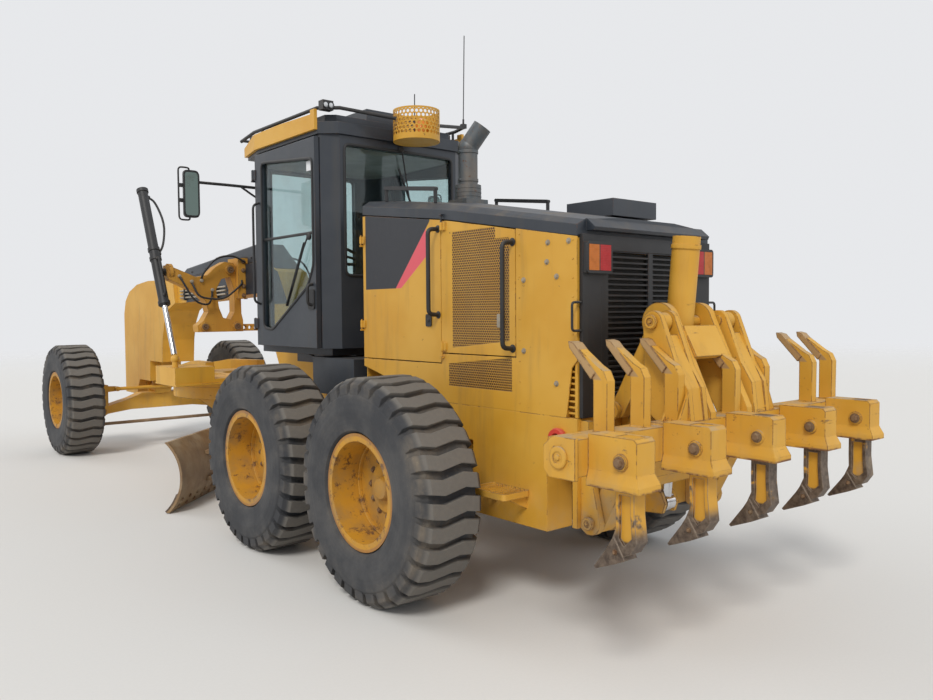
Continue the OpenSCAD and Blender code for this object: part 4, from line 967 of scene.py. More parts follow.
def makeSeat():
    look = seatLook
    low, high = look["base"]
    folds = look["folds"]
    rise = np.linspace(0, 1, folds)
    wave = 1.0 + 0.06 * np.cos(rise * 12 * np.pi)
    outline = np.array(bent(oblong(low, high), 0.05, True))
    count = len(outline)
    middle = (np.array(low[:2]) + np.array(high[:2])) / 2
    # a bellows: the outline grows and shrinks as it rises
    around = middle + (outline - middle) * wave[:, None, None]
    height = (low[2] + (high[2] - low[2]) * rise)[:, None, None]
    points = np.concatenate([np.broadcast_to(around, (folds, count, 2)),
                             np.broadcast_to(height, (folds, count, 1))], 2)
    caps = [list(range(count)), list(range((folds - 1) * count, folds * count))]
    faces = gridFaces(folds, count, False, True) + caps
    base = makePiece("seatBase", (points.reshape(-1, 3), faces), rubberHose, "front_frame")
    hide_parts("cab_seat")
    middle, size = look["pad"]
    makePiece("seatPad", cushion(middle, size, 0.22, (-0.45, 0.45)), seatFabric, "front_frame")
    for name in ("back", "head"):
        middle, size = look[name]
        # made lying flat, then stood up: the height becomes y
        points, faces = cushion((0, 0, 0), (size[0], size[2], size[1]), 0.25,
                                (-0.5, 0.5) if name == "back" else ())
        points = points[:, [0, 2, 1]] + np.asarray(middle)
        makePiece(name + "Rest", (points, faces), seatFabric, "front_frame")
    post = tube([(0.05, -0.84, 2.44), (0.05, -0.84, 2.52)], 0.007, 0.01, yAxis)
    makePair("headPosts", post, chromeRod, "front_frame")


makeSeat()
print("cab glass, inside and seat made")


# the cab's outside: handles, wipers, sticker, mirrors, beacon and lamps

cabFittings = {"sunk": 0.002, "wiper": 0.006,
               "bars": [{"out": 0.055, "y": -1.575, "ends": (1.80, 2.64), "lean": 0.02,
                         "radius": 0.010, "bend": 0.04},
                        {"out": 0.045, "y": -0.700, "ends": (1.78, 1.94), "lean": 0.01,
                         "radius": 0.012, "bend": 0.03}],
               "foot": ((-0.76, 1.75), (-0.665, 1.90)),
               "pivot": [(0, 0.026), (0.012, 0.026), (0.020, 0.018), (0.022, 0)],
               "pivotAt": (-0.735, 2.30),
               "arm": [(0.016, -0.735, 2.30), (0.020, -0.82, 2.18), (0.016, -0.98, 1.93)],
               "blade": [(-0.006, -0.010), (0.006, -0.010), (0.003, 0.010), (-0.003, 0.010)],
               "bladePath": [(0.008, -0.80, 2.26), (0.008, -1.10, 1.78)], "sticker": (-0.80, 2.80, 0.075),
               "stickerX": (0.7062, 0.7072),
               "rearPivot": [(0, 0.026), (0.014, 0.026), (0.022, 0.018), (0.024, 0)],
               "rearPivotAt": (0.0, -0.556, 3.012),
               "rearArm": [(0.0, -0.541, 3.01), (-0.02, -0.540, 2.90), (-0.08, -0.548, 2.60)],
               "rearBlade": [(-0.006, -0.008), (0.006, -0.008), (0.003, 0.008), (-0.003, 0.008)],
               "rearPath": [(0.02, -0.556, 2.86), (-0.20, -0.556, 2.36)]}


def makeCabFittings():
    look = cabFittings
    face = doorGlass["face"]
    bars = [grip(face - look["sunk"], face + bar["out"], bar["y"], bar["ends"], bar["lean"],
                 bar["radius"], bar["bend"]) for bar in look["bars"]]
    foot = plate(bent(oblong(*look["foot"]), 0.02, True), 0, face - 0.003, face + 0.010)
    onSides("doorRail", joined(*bars, foot), blackPlastic, "cab_door")
    # wipers: a pivot, an arm and a blade that follows the glass
    pivot = turned(look["pivot"], (face - look["sunk"], *look["pivotAt"]), xAxis, 20)
    arm = tube([(face + x, y, z) for x, y, z in look["arm"]], look["wiper"], 0.05, xAxis)
    blade = carried(look["blade"], [(face + x, y, z) for x, y, z in look["bladePath"]], xAxis)
    onSides("doorWiper", joined(pivot, arm, blade), blackPlastic, "cab_door")
    y, z, size = look["sticker"]
    square = plate(bent(oblong((y, z), (y + size, z + size)), 0.006, True), 0, *look["stickerX"])
    makePiece("doorSticker", square, stickerWhite, "cab_door_left")
    pivot = turned(look["rearPivot"], look["rearPivotAt"], yAxis, 20)
    arm = tube(look["rearArm"], look["wiper"], 0.05, yAxis)
    blade = carried(look["rearBlade"], look["rearPath"], yAxis)
    makePiece("rearWiper", joined(pivot, arm, blade), blackPlastic, "front_frame")


makeCabFittings()

mirrorLook = {"head": oblong((1.175, 2.500), (1.302, 2.880)), "corner": 0.035, "y": (-1.765, -1.722),
              "armY": -1.742, "arm": 0.012, "armLine": [(0.6335, 2.790), (0.90, 2.792), (1.185, 2.790)],
              "strut": 0.009, "strutLine": [(0.640, 2.695), (0.700, 2.725), (0.800, 2.784)],
              "foot": [(0, 0.020), (0.006, 0.020), (0.012, 0.015)], "loop": 0.007,
              "loopLine": [(1.250, 2.878), (1.250, 2.900), (1.337, 2.900), (1.337, 2.480), (1.250, 2.480),
                           (1.250, 2.502)],
              "clampX": (1.295, 1.341), "clampY": (-1.752, -1.732), "clampZ": (2.62, 2.74),
              "rim": [(-0.006, -0.002), (-0.006, 0.005), (0.006, 0.005), (0.006, -0.002)],
              "rimShare": 0.94, "glassShare": 0.91}


def makeMirrors():
    # head with a crowned back, glass with a rim, arm with a strut,
    # and the guard of bent wire beside the head
    look = mirrorLook
    outline = bent(look["head"], look["corner"], True)
    middle = (outline.min(0) + outline.max(0)) / 2
    front, back = look["y"]
    shares = [(1.0, back), (1.0, front + 0.018), (0.90, front + 0.004), (0.70, front)]
    points = np.concatenate([upright(middle + (outline - middle) * share, 1, y) for share, y in shares])
    count = len(outline)
    caps = [list(range(count)), list(range(3 * count, 4 * count))]
    head = points, gridFaces(4, count, False, True) + caps
    armLine, strutLine, loopLine = (upright(look[line], 1, look["armY"])
                                    for line in ("armLine", "strutLine", "loopLine"))
    arm = tube(armLine, look["arm"], 0.1, yAxis)
    strut = tube(strutLine, look["strut"], 0.05, yAxis)
    foot = turned(look["foot"], armLine[0], xAxis, 20)
    loop = tube(loopLine, look["loop"], 0.03, yAxis)
    near, far = zip(look["clampX"], look["clampY"])
    clamps = [box((*near, z), (*far, z + 0.03), 0.006) for z in look["clampZ"]]
    rim = carried(look["rim"], upright(middle + (outline - middle) * look["rimShare"], 1, back), yAxis, True)
    heads = makePair("mirrorHeads", joined(head, arm, strut, foot, loop, rim, *clamps), blackPlastic,
                     "front_frame")
    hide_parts("mirrors")
    glass = plate(middle + (outline - middle) * look["glassShare"], 1, back - 0.002, back + 0.002)
    makePair("mirrorGlass", glass, mirrorGlass, "front_frame")


makeMirrors()

beaconLook = {"base": (-0.055, -0.348, 3.0412), "line": [(0, 0.078), (0.018, 0.078), (0.022, 0.066)],
              "lens": [(0.020, 0.064), (0.030, 0.066), (0.120, 0.060), (0.165, 0.045), (0.182, 0.022),
                       (0.185, 0)]}
tailFrame = {"profile": [(-0.008, -0.004), (-0.008, 0.008), (0.008, 0.008), (0.008, -0.004)],
             "corners": ((0.378, 1.930), (0.566, 2.083)), "y": 1.9104}
lampLook = {"lens": [(0.004, 0.033), (0.008, 0.028), (0.012, 0.015), (0.013, 0)], "rim": 0.0225,
            "rear": [(0.618, -0.575, 3.267), (0.662, -0.575, 3.267)], "frontX": (0.49, 0.55),
            "front": (-2.045, 3.237)}


def makeLamps():
    look = beaconLook
    makePiece("beaconFoot", turned(look["line"], look["base"], zAxis, 40), blackPlastic, "front_frame")
    makePiece("beaconLens", turned(look["lens"], look["base"], zAxis, 40), amberLens, "front_frame")
    lens = turned([(h * 0.8, r * 0.62) for h, r in lampLook["lens"]], (0, 0, 0), zAxis, 24)
    rim = carried([(-0.003, -0.002), (-0.003, 0.008), (0.003, 0.008), (0.003, -0.002)],
                  upright(ring(lampLook["rim"], 24), 2, 0.0), zAxis, True)
    rear = lampLook["rear"]
    front = [(x * s, *lampLook["front"]) for x in lampLook["frontX"] for s in (-1, 1)]
    makePiece("lampLenses", joined(copies(lens, rear, yAxis), copies(lens, front, (0, -1, 0))), clearLens,
              "front_frame")
    makePiece("lampRims", joined(copies(rim, rear, yAxis), copies(rim, front, (0, -1, 0))), blackPlastic,
              "front_frame")
    outline = upright(bent(oblong(*tailFrame["corners"]), 0.014, True), 1, tailFrame["y"])
    frame = carried(tailFrame["profile"], outline, yAxis, True)
    makePair("tailFrames", frame, blackPlastic, "rear_frame")


makeLamps()
print("cab fittings made")


# the engine's hood: handles, latches, bolts, rivets and the radiator behind the grille

hoodLook = {"face": 0.5932, "bar": 0.014, "reach": 0.080, "engineHandle": (0.676, 1.705, 2.250),
            "meshHandle": (1.368, 1.510, 2.120), "foot": [(0, 0.024), (0.004, 0.024), (0.007, 0.018)],
            "latch": {"beside": 0.10, "half": 0.03, "z": (1.63, 1.71), "keyZ": 1.67},
            "key": [(0.005, 0.013), (0.010, 0.012), (0.012, 0.006), (0.012, 0)],
            "bolts": [(1.651, 2.098), (1.805, 2.097), (1.643, 1.993), (1.716, 1.911), (1.714, 1.330),
                      (1.46, 1.90), (1.46, 1.50)],
            "rows": [(1.425, 1.20, 2.16, 9), (1.835, 1.50, 2.10, 7)],
            "grilleHandle": [(0.572, 1.877, 1.770), (0.648, 1.879, 1.770), (0.648, 1.879, 1.620),
                             (0.572, 1.877, 1.620)], "core": ((-0.42, 1.840, 1.29), (0.42, 1.863, 2.04))}


def makeHoodFittings():
    look = hoodLook
    face = look["face"]
    latch = look["latch"]
    for name, root, metal in (("engineHandle", "engine_door", blackPlastic),
                              ("meshHandle", "mesh_door", zincSteel)):
        y, low, high = look[name]
        bar = grip(face - 0.004, face + look["reach"], y, (low, high), 0.005, look["bar"], 0.035)
        feet = [turned(look["foot"], (face - 0.001, y, z), xAxis, 20) for z in (low, high)]
        onSides(name, joined(bar, *feet), blackPlastic, root)
        middle = y - latch["beside"]
        outline = oblong((middle - latch["half"], latch["z"][0]), (middle + latch["half"], latch["z"][1]))
        cover = plate(bent(outline, 0.012, True), 0, face - 0.001, face + 0.006)
        key = turned(look["key"], (face, middle, latch["keyZ"]), xAxis, 16)
        onSides(name + "Latch", joined(cover, key), metal, root)
    places = [(face, y, z) for y, z in look["bolts"]]
    makePair("hoodBolts", copies(boltHead(0.011), places, xAxis), zincSteel, "rear_frame")
    rows = [(face - 0.0006, y, z) for y, low, high, n in look["rows"] for z in np.linspace(low, high, n)]
    makePair("hoodRivets", copies(rivetHead(0.006), rows, xAxis), yellowPaint, "rear_frame")
    makePair("grilleHandles", tube(look["grilleHandle"], 0.007, 0.02, yAxis), blackPlastic, "rear_frame")
    makePiece("radiatorCore", box(*look["core"]), radiatorCore, "rear_frame")


makeHoodFittings()

couplingLook = {"place": (0.5932, 1.735, 1.030),
                "ring": [(0, 0.058), (0.020, 0.062), (0.034, 0.056), (0.034, 0.034), (0.012, 0.030),
                         (0, 0.030)],
                "plug": [(0.010, 0.024), (0.030, 0.022), (0.036, 0.012), (0.037, 0)]}


def makeCouplings():
    # a round coupling on each rear channel: an outer ring and a plug in it
    look = couplingLook
    ringShape = turned(look["ring"], look["place"], xAxis, 40, True)
    makePair("couplingRings", ringShape, dullRed, "rear_frame")
    makePair("couplingPlugs", turned(look["plug"], look["place"], xAxis, 24), yellowPaint, "rear_frame")


makeCouplings()

exhaustLook = {"axis": (-0.180, 0.060), "band": 0.0735, "heights": (2.695, 2.905),
               "slots": (2.55, 2.58, 2.61, 2.64)}


def makeExhaust():
    look = exhaustLook
    x, y = look["axis"]
    inner = look["band"] - 0.003
    outer = look["band"] + 0.004
    line = [(0, inner), (0, outer), (0.022, outer), (0.022, inner)]
    bands = [turned(line, (x, y, z), zAxis, 40, True) for z in look["heights"]]
    bolts = copies(boltHead(0.008), [(x + look["band"] + 0.003, y, z + 0.011) for z in look["heights"]],
                   xAxis)
    slots = [turned([(0, 0.0985), (0.003, 0.1005), (0.006, 0.0985)], (x, y, z), zAxis, 40)
             for z in look["slots"]]
    makePiece("exhaustBands", joined(*bands, bolts, *slots), exhaustSteel, "rear_frame")


makeExhaust()

stepLook = {"y": (1.20, 1.50), "x": (0.592, 0.790), "z": (0.675, 0.712), "bars": 7, "toothPoints": 23,
            "stay": [(0.592, 0.60), (0.592, 0.676), (0.75, 0.676)], "stayY": (1.22, 1.472)}


def makeSteps():
    # a rim of flat bar carried round, and bars across it with teeth for the boots
    look = stepLook
    low = (look["x"][0], look["y"][0])
    high = (look["x"][1], look["y"][1])
    path = upright(bent(oblong(low, high), 0.02, True), 2, look["z"][0])
    rim = carried(oblong((-0.003, 0), (0.003, 0.037)), path, zAxis, True)
    count = look["toothPoints"]
    along = np.linspace(*look["x"], count)
    teeth = 0.004 * (np.arange(count) % 2)
    lower = np.full(count, look["z"][0] + 0.006)
    outline = np.concatenate([np.stack([along, lower], 1),
                              np.stack([along, lower + 0.024 + teeth], 1)[::-1]])
    bars = [plate(outline, 1, y - 0.002, y + 0.002) for y in np.linspace(*look["y"], look["bars"] + 2)[1:-1]]
    stays = [plate(look["stay"], 1, y, y + 0.008) for y in look["stayY"]]
    makePair("rearSteps", joined(rim, *bars, *stays), yellowPaint, "rear_frame")


makeSteps()

caseLook = {"face": 0.8002, "radius": 0.150, "bolts": 12, "plugs": [(0.30, 0.80), (-0.30, 0.60)]}


def makeCaseCovers():
    # the cover of each tandem case between its wheels, with its ring of bolts, and a filler plug
    look = caseLook
    radius = look["radius"]
    line = [(0, radius + 0.012), (0.010, radius + 0.008), (0.012, radius - 0.03), (0.020, radius - 0.05),
            (0.022, 0)]
    cover = turned(line, (look["face"], 0, wheelHigh), xAxis, 48)
    places = upright(ring(radius - 0.012, look["bolts"]) + (0, wheelHigh), 0, look["face"] + 0.010)
    plugs = copies(boltHead(0.016), [(look["face"], y, z) for y, z in look["plugs"]], xAxis)
    bolts = copies(boltHead(0.010), places, xAxis)
    makePair("caseCovers", joined(cover, bolts, plugs), yellowPaint, "rear_frame")


makeCaseCovers()
print("hood and frame fittings made")


# wheels: nuts, hub caps, lock rings and valves

wheelLook = {"disc": 1.0562, "hub": 1.0722, "nuts": 12, "nutRing": 0.174, "nutSize": 0.0145,
             "cap": [(0, 0.075), (0.03, 0.072), (0.045, 0.060), (0.050, 0.03), (0.051, 0)],
             "bead": [(0, 0.292), (0.006, 0.300), (0.020, 0.300), (0.024, 0.296), (0.020, 0.290),
                      (0, 0.288)],
             "valve": [(0, 0.006), (0.035, 0.006), (0.037, 0.008), (0.048, 0.008), (0.049, 0)]}


def makeWheelParts(name, centre):
    look = wheelLook
    y0 = centre[1]
    places = upright(ring(look["nutRing"], look["nuts"]) + (y0, wheelHigh), 0, look["disc"])
    nuts = copies(boltHead(look["nutSize"]), places, xAxis)
    cap = turned(look["cap"], (look["hub"], y0, wheelHigh), xAxis, 40)
    bead = turned(look["bead"], (look["disc"], y0, wheelHigh), xAxis, 48, True)
    valve = turned(look["valve"], (look["disc"] - 0.002, y0 + 0.20, wheelHigh + 0.12), xAxis, 10)
    for piece, shape, material in (("nuts_", joined(nuts, valve), castSteel),
                                   ("hubCap_", joined(cap, bead), nodeLooks["rim_" + name])):
        makePiece(piece + name, shape if centre[0] > 0 else mirrored(shape), material, "wheel_" + name)


for wheel, centre in wheels.items():
    makeWheelParts(wheel, centre)
print("wheel parts made")


# ripper: retaining pins, pin heads and welds

ripperFittings = {"shanks": [-1.066, -0.533, 0.0, 0.533, 1.066], "pinY": 2.600, "pinZ": 1.085,
                  "boss": 0.0732, "pinSize": 0.020, "towerPin": (0.3792, 2.180, 1.665),
                  "armPin": (0.5652, 2.195, 1.080), "lowPin": (0.5802, 1.930, 0.600),
                  "endPin": (1.2252, 2.335, 1.085),
                  "tineX": (0.934, 0.667, 0.400, -0.108, -0.400, -0.934, -1.180), "tineY": (2.300, 2.380),
                  "plateX": (0.145, 0.195, 0.216, 0.252, 0.334, 0.370, 0.377, 0.413, 0.527, 0.563),
                  "plateY": (2.2625, 2.410)}
weldLook = {"radius": 0.006, "z": 1.1678, "wave": 0.0012, "pitch": 1.9}


def pinHead(radius):
    # a round head with a hollow and a small bolt in it
    head = turned([(0, radius), (0.010, radius), (0.013, radius * 0.92), (0.013, radius * 0.55),
                   (0.009, radius * 0.5), (0.009, 0)], (0, 0, 0), zAxis, 28)
    bolt = turned([(0.008, radius * 0.28), (0.016, radius * 0.28), (0.018, radius * 0.2)], (0, 0, 0),
                  zAxis, 6)
    return joined(head, bolt)


def weld(x, ends, count):
    # a bead along y, round and wavy: height = z + wave * sin(pitch * step)
    look = weldLook
    line = np.stack([np.full(count, x), np.linspace(*ends, count), np.full(count, look["z"])], 1)
    line[:, 2] += look["wave"] * np.sin(np.arange(count) * look["pitch"])
    return carried(ring(look["radius"], 8), line, zAxis)


def makeRipperParts():
    look = ripperFittings
    left = [(x + look["boss"], look["pinY"], look["pinZ"]) for x in look["shanks"]]
    right = [(x - look["boss"], look["pinY"], look["pinZ"]) for x in look["shanks"]]
    pins = joined(copies(boltHead(look["pinSize"]), left, xAxis),
                  copies(boltHead(look["pinSize"]), right, (-1, 0, 0)))
    makePiece("shankPins", pins, castSteel, "ripper_carrier")
    tower = bothSides(copies(pinHead(0.038), [look["towerPin"]], xAxis))
    arm = bothSides(copies(pinHead(0.036), [look["armPin"]], xAxis))
    ends = bothSides(copies(pinHead(0.050), [look["endPin"]], xAxis))
    makePiece("carrierPins", joined(tower, arm, ends), ripperPaint, "ripper_carrier")
    makePair("armPins", copies(pinHead(0.036), [look["lowPin"]], xAxis), ripperPaint, "ripper_arms")
    # where the tines and plates meet the beam
    welds = [weld(x + s, look["tineY"], 24) for x in look["tineX"] for s in (-0.027, 0.027)]
    welds += [weld(x * s, look["plateY"], 40) for x in look["plateX"] for s in (-1, 1)]
    makePiece("ripperWelds", joined(*welds), ripperPaint, "ripper_carrier")
    tipPins = [(x + 0.0432, 2.552, 0.690) for x in look["shanks"]]
    makePiece("tipPins", copies(boltHead(0.009), tipPins, xAxis), castSteel, "ripper_carrier")


makeRipperParts()
print("ripper parts made")


# lift cylinders: collars and ports on the barrels, a hose beside each and a pipe along it

liftLook = {"trunnion": (1.0, -3.212, 2.129), "eye": (1.0, -2.820, 1.300), "barrel": 0.048, "pipe": 0.011,
            "collars": (0.318, -0.924, -0.26, -0.16), "ports": (-0.12, 0.27), "sidePorts": (-0.84, -0.20),
            "stub": [(0, 0.018), (0.014, 0.018), (0.018, 0.014), (0.022, 0)], "stubAt": 0.044,
            "pipePath": [(-0.12, 0.040), (-0.12, 0.082), (0.27, 0.082), (0.27, 0.040)],
            "hosePath": [(-0.84, 0.040), (-0.80, 0.105), (-0.55, 0.160), (-0.30, 0.105), (-0.20, 0.040)]}


def makeLiftParts():
    look = liftLook
    top = np.array(look["trunnion"])
    down = np.array(look["eye"]) - top
    down = down / np.linalg.norm(down)
    out = np.cross(down, xAxis)
    out = out / np.linalg.norm(out)
    out = out if out[1] > 0 else -out

    def at(along, away):
        return tuple(top + down * along + out * away)

    def inward(along, away):
        return tuple(top + down * along + np.array([-away, 0.0, 0.0]))

    hose = tube([inward(*place) for place in look["hosePath"]], look["pipe"], 0.12, out)
    pipe = tube([at(*place) for place in look["pipePath"]], look["pipe"], 0.05, xAxis)
    makePair("liftPipes", joined(hose, pipe), rubberHose, "lift_barrels")
    inner = look["barrel"] - 0.002
    outer = look["barrel"] + 0.008
    line = [(0, inner), (0, outer), (0.035, outer), (0.040, inner)]
    collar = [turned(line, at(along, 0), down, 40) for along in look["collars"]]
    ports = [turned(look["stub"], at(along, look["stubAt"]), out, 16) for along in look["ports"]]
    ports += [turned(look["stub"], inward(along, look["stubAt"]), (-1, 0, 0), 16)
              for along in look["sidePorts"]]
    makePair("liftCollars", joined(*collar, *ports), blackPaint, "lift_barrels")


makeLiftParts()


# lift arms: bolts of the saddle and pins of the castings

saddleLook = {"face": -3.087, "bolts": [(0.18, 1.905), (0.18, 2.00), (0.18, 2.16), (0.18, 2.25)],
              "pins": [(0.575, -3.127, 1.590), (0.235, -3.127, 1.590), (0.300, -3.127, 2.165)]}


def makeSaddleParts():
    look = saddleLook
    places = [(x, look["face"], z) for x, z in look["bolts"]]
    heads = bothSides(copies(boltHead(0.016), places, yAxis))
    pins = bothSides(copies(pinHead(0.034), look["pins"], yAxis))
    makePiece("saddleBolts", joined(heads, pins), castSteel, "front_frame")


makeSaddleParts()

# hoses that hang behind each lift arm, from the casting to the saddle
armHoseLook = {
    "radius": 0.010,
    "lines": [[(0.82, -3.15, 2.09), (0.82, -3.09, 2.06), (0.70, -3.075, 1.84),
               (0.55, -3.085, 1.80), (0.50, -3.12, 1.90), (0.49, -3.15, 1.96)],
              [(0.70, -3.15, 2.04), (0.70, -3.10, 2.00), (0.66, -3.06, 1.88),
               (0.40, -3.07, 1.86), (0.20, -3.075, 2.02), (0.20, -3.09, 2.06)],
              [(0.60, -3.15, 2.05), (0.60, -3.10, 2.12), (0.48, -3.06, 2.28),
               (0.30, -3.06, 2.31), (0.16, -3.075, 2.24), (0.16, -3.09, 2.24)]],
    "endY": -3.149, "ends": [(0.82, 2.09), (0.49, 1.96), (0.70, 2.04), (0.60, 2.05)]}


def makeArmHoses():
    look = armHoseLook
    hoses = [tube(line, look["radius"], 0.09, yAxis) for line in look["lines"]]
    stub = [(0, 0.017), (0.022, 0.017), (0.026, 0.012)]
    ends = [turned(stub, (x, look["endY"], z), yAxis, 16) for x, z in look["ends"]]
    makePair("armHoses", joined(*hoses), rubberHose, "front_frame")
    makePair("hoseEnds", joined(*ends), zincSteel, "front_frame")


makeArmHoses()


# pipes along the main beam, with clamps

beamLook = {"x": 0.168, "z": (1.93, 1.97, 2.01), "y": (-4.85, -4.0, -3.6, -3.56),
            "drop": (0.020, 0.012, 0.0, 0.0), "pipe": 0.010, "clampX": (0.153, 0.186),
            "clampY": (-4.7, -4.25, -3.8), "boltZ": 1.95}


def makeBeamPipes():
    look = beamLook
    path = list(zip(look["y"], look["drop"]))
    pipes = [tube([(look["x"], y, z - drop) for y, drop in path], look["pipe"], 0.1, xAxis)
             for z in look["z"]]
    near, far = look["clampX"]
    low = look["z"][0] - 0.05
    high = look["z"][-1] + 0.015
    clamps = [box((near, y - 0.015, low), (far, y + 0.015, high), 0.004) for y in look["clampY"]]
    bolts = copies(boltHead(0.007), [(far, y, look["boltZ"]) for y in look["clampY"]], xAxis)
    makePair("beamPipes", joined(*pipes), zincSteel, "front_frame")
    makePair("pipeClamps", joined(*clamps, bolts), blackPaint, "front_frame")


makeBeamPipes()

# the dark cover on the main beam, which rises towards the cab and steps over the saddle
coverLook = {"half": 0.140, "top": [(-4.72, 2.253), (-2.82, 2.419)],
             "under": [(-2.46, 2.152), (-2.70, 2.2415), (-3.082, 2.224), (-3.082, 2.287), (-3.342, 2.287),
                       (-3.342, 2.212), (-4.98, 2.1325)],
             "bolts": [(-4.55, 2.205), (-4.15, 2.225), (-3.75, 2.245), (-3.42, 2.262), (-2.98, 2.285),
                       (-2.75, 2.295)]}


def makeBeamCover():
    look = coverLook
    shell = plate(look["top"] + look["under"], 0, -look["half"], look["half"])
    makePiece("beamCover", shell, darkPaint, "front_frame", 0.012)
    places = [(look["half"] - 0.0006, y, z) for y, z in look["bolts"]]
    makePair("coverBolts", copies(boltHead(0.009), places, xAxis), blackPaint, "front_frame")


makeBeamCover()
print("lift and beam parts made")


# blade: cutting edge with its bolts

bladeLook = {"middle": (-0.060 - 0.27846, 0.313), "radius": 0.413, "z": (0.0090, 0.165), "thick": 0.016,
             "behind": 0.022, "x": (-1.877, 1.777), "bolts": 24, "boltZ": (0.070, 0.125)}
circleMiddle = (0.0, -3.400)
circleTurn = math.radians(43.5)


def turnedWithCircle(shape):
    # turned about the circle's middle by the angle that the blade stands at
    points = shape[0]
    c = math.cos(circleTurn)
    s = math.sin(circleTurn)
    x = points[:, 0] * c - points[:, 1] * s + circleMiddle[0]
    y = points[:, 0] * s + points[:, 1] * c + circleMiddle[1]
    return np.stack([x, y, points[:, 2]], 1), shape[1]


def makeCuttingEdge():
    look = bladeLook
    y0, z0 = look["middle"]
    height = np.linspace(*look["z"], 9)
    angle = np.arcsin((height - z0) / look["radius"])
    around = np.stack([np.cos(angle), np.sin(angle)], 1)
    reach = look["radius"] - look["thick"]
    rear = look["radius"] + look["behind"]
    back = look["middle"] + (look["radius"] + 0.0005) * around
    front = look["middle"] + reach * around
    front[:, 1] = np.maximum(front[:, 1], look["z"][0])
    outline = np.concatenate([back, front[::-1]])
    left, right = look["x"]
    middle = (left + right) / 2
    halves = [plate(outline, 0, left, middle - 0.001), plate(outline, 0, middle + 0.001, right)]
    makePiece("cuttingEdge", turnedWithCircle(joined(*halves)), wornSteel, "blade", 0.001)
    heads = []
    for z in look["boltZ"]:
        a = math.asin((z - z0) / look["radius"])
        for head, out, way in ((rivetHead(0.014), reach, -1), (boltHead(0.013), rear, 1)):
            row = [(x, y0 + out * math.cos(a), z0 + out * math.sin(a))
                   for x in np.linspace(left + 0.08, right - 0.08, look["bolts"])]
            heads.append(copies(head, row, (0, way * math.cos(a), way * math.sin(a))))
    makePiece("edgeBolts", turnedWithCircle(joined(*heads)), castSteel, "blade")


makeCuttingEdge()


# circle: the ring of teeth on its inner face

circleLook = {"teeth": 64, "inner": 0.670, "depth": 0.026, "z": (1.003, 1.0385)}


def circleTeeth():
    # inner outline of a gear: radius rises and falls with a squared wave of the angle
    look = circleLook
    angle = np.linspace(0, 2 * np.pi, look["teeth"] * 8, endpoint=False)
    wave = np.clip(1.6 * np.sin(angle * look["teeth"]), -1, 1) * 0.5 + 0.5
    inner = look["inner"] - look["depth"] * wave
    outer = np.full(len(angle), look["inner"] + 0.004)
    lines = [(inner, look["z"][0]), (inner, look["z"][1]), (outer, look["z"][1]), (outer, look["z"][0])]
    around = np.stack([np.cos(angle), np.sin(angle)], 1)
    points = np.concatenate([upright(circleMiddle + r[:, None] * around, 2, z) for r, z in lines])
    return points, gridFaces(len(lines), len(angle), True, True)


makePiece("circleTeeth", circleTeeth(), castSteel, "circle")


# front axle: caps and bolts over the kingpins and the lean pins

axleLook = {"kingpin": (0.820, -6.123, 0.8243), "leanPin": (0.740, -6.123, 0.500), "pinReach": 0.1352,
            "boltRing": 0.047, "bolts": 6}


def makeAxleParts():
    look = axleLook
    x, y, z = look["kingpin"]
    cap = turned([(0, 0.058), (0.012, 0.056), (0.020, 0.040), (0.022, 0)], look["kingpin"], zAxis, 32)
    places = upright(ring(look["boltRing"], look["bolts"]) + (x, y), 2, z + 0.011)
    bolts = copies(boltHead(0.007), places, zAxis)
    onSides("kingpinCap", joined(cap, bolts), castPaint, "lean")
    x, y, z = look["leanPin"]
    ends = [copies(pinHead(0.034), [(x, y + s * look["pinReach"], z)], (0, s, 0)) for s in (-1, 1)]
    onSides("leanPinHeads", joined(*ends), castPaint, "lean")


makeAxleParts()
print("blade, circle and axle parts made")


# stage

floorLook = {"size": 60.0, "fade": (14.0, 42.0), "tones": ((0.70, 0.69, 0.67), (0.74, 0.73, 0.71))}
studio = {"light": (0.93, 0.96, 1.0), "strength": 0.55, "backdrop": (0.80, 0.81, 0.83),
          "lamps": {"key": ((9.0, 7.0, 11.0), 1.7, 0.30, (1.0, 0.97, 0.92)),
                    "fill": ((-8.0, 9.0, 7.0), 0.45, 0.7, (0.93, 0.96, 1.0)),
                    "front": ((6.0, -12.0, 8.0), 0.5, 0.6, (1.0, 0.98, 0.95))}}


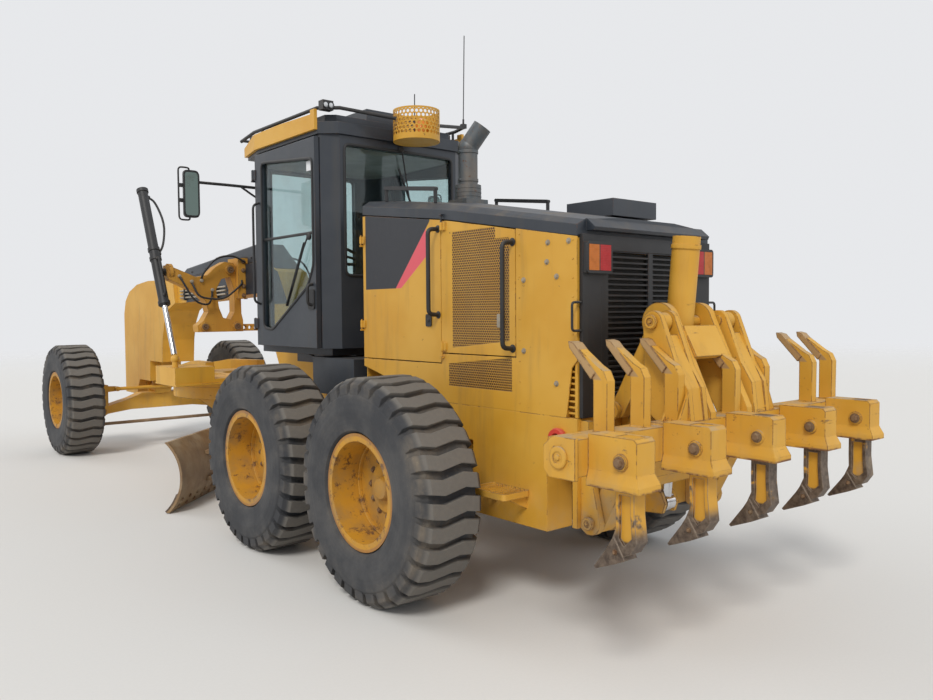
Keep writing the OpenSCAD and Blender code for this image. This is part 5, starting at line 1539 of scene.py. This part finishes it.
def makeStage():
    s = Shader("paleFloor")
    grain = s.noise(60.0, 3.0)
    tone = s.mix(grain, *floorLook["tones"])
    far = ((s.x * s.x + s.y * s.y) ** 0.5).ease(*floorLook["fade"])  # the floor fades out far away
    s.finish(Base_Color=tone, Roughness=0.9)
    away = s.add("ShaderNodeBsdfTransparent")
    faded = s.add("ShaderNodeMixShader", {}, {0: far, 1: s.surface.outputs[0], 2: away.outputs[0]})
    s.feed(s.end.inputs["Surface"], faded.outputs[0])
    size = floorLook["size"]
    corners = [(-size, -size, 0), (size, -size, 0), (size, size, 0), (-size, size, 0)]
    mesh = bpy.data.meshes.new("floor")
    mesh.from_pydata(corners, [], [(0, 1, 2, 3)])
    mesh.materials.append(s.material)
    floor = bpy.data.objects.new("floor", mesh)
    bpy.context.scene.collection.objects.link(floor)


def makeLights():
    world = bpy.data.worlds.new("studio")
    bpy.context.scene.world = world
    world.use_nodes = True
    tree = Nodes(world.node_tree)
    rays = tree.add("ShaderNodeLightPath").outputs
    # the camera, gloss and glass see the pale backdrop, and everything else is lit by the sky's light
    direct = tree.add("ShaderNodeMath", {"operation": "MAXIMUM"},
                      {0: rays["Is Camera Ray"], 1: rays["Is Glossy Ray"]})
    seen = tree.add("ShaderNodeMath", {"operation": "MAXIMUM"},
                    {0: direct.outputs[0], 1: rays["Is Transmission Ray"]})
    light = tree.add("ShaderNodeBackground", {}, {"Color": studio["light"], "Strength": studio["strength"]})
    backdrop = tree.add("ShaderNodeBackground", {}, {"Color": studio["backdrop"], "Strength": 1.0})
    mixed = tree.add("ShaderNodeMixShader", {},
                     {0: seen.outputs[0], 1: light.outputs[0], 2: backdrop.outputs[0]})
    tree.add("ShaderNodeOutputWorld", {}, {"Surface": mixed.outputs[0]})
    for name, (place, strength, angle, tint) in studio["lamps"].items():
        data = bpy.data.lights.new(name, "SUN")
        data.energy = strength
        data.angle = angle
        data.color = tint
        lamp = bpy.data.objects.new(name, data)
        lamp.rotation_euler = Vector(place).to_track_quat("Z", "Y").to_euler()
        bpy.context.scene.collection.objects.link(lamp)
    bpy.context.scene.view_settings.view_transform = "Standard"


makeStage()
makeLights()
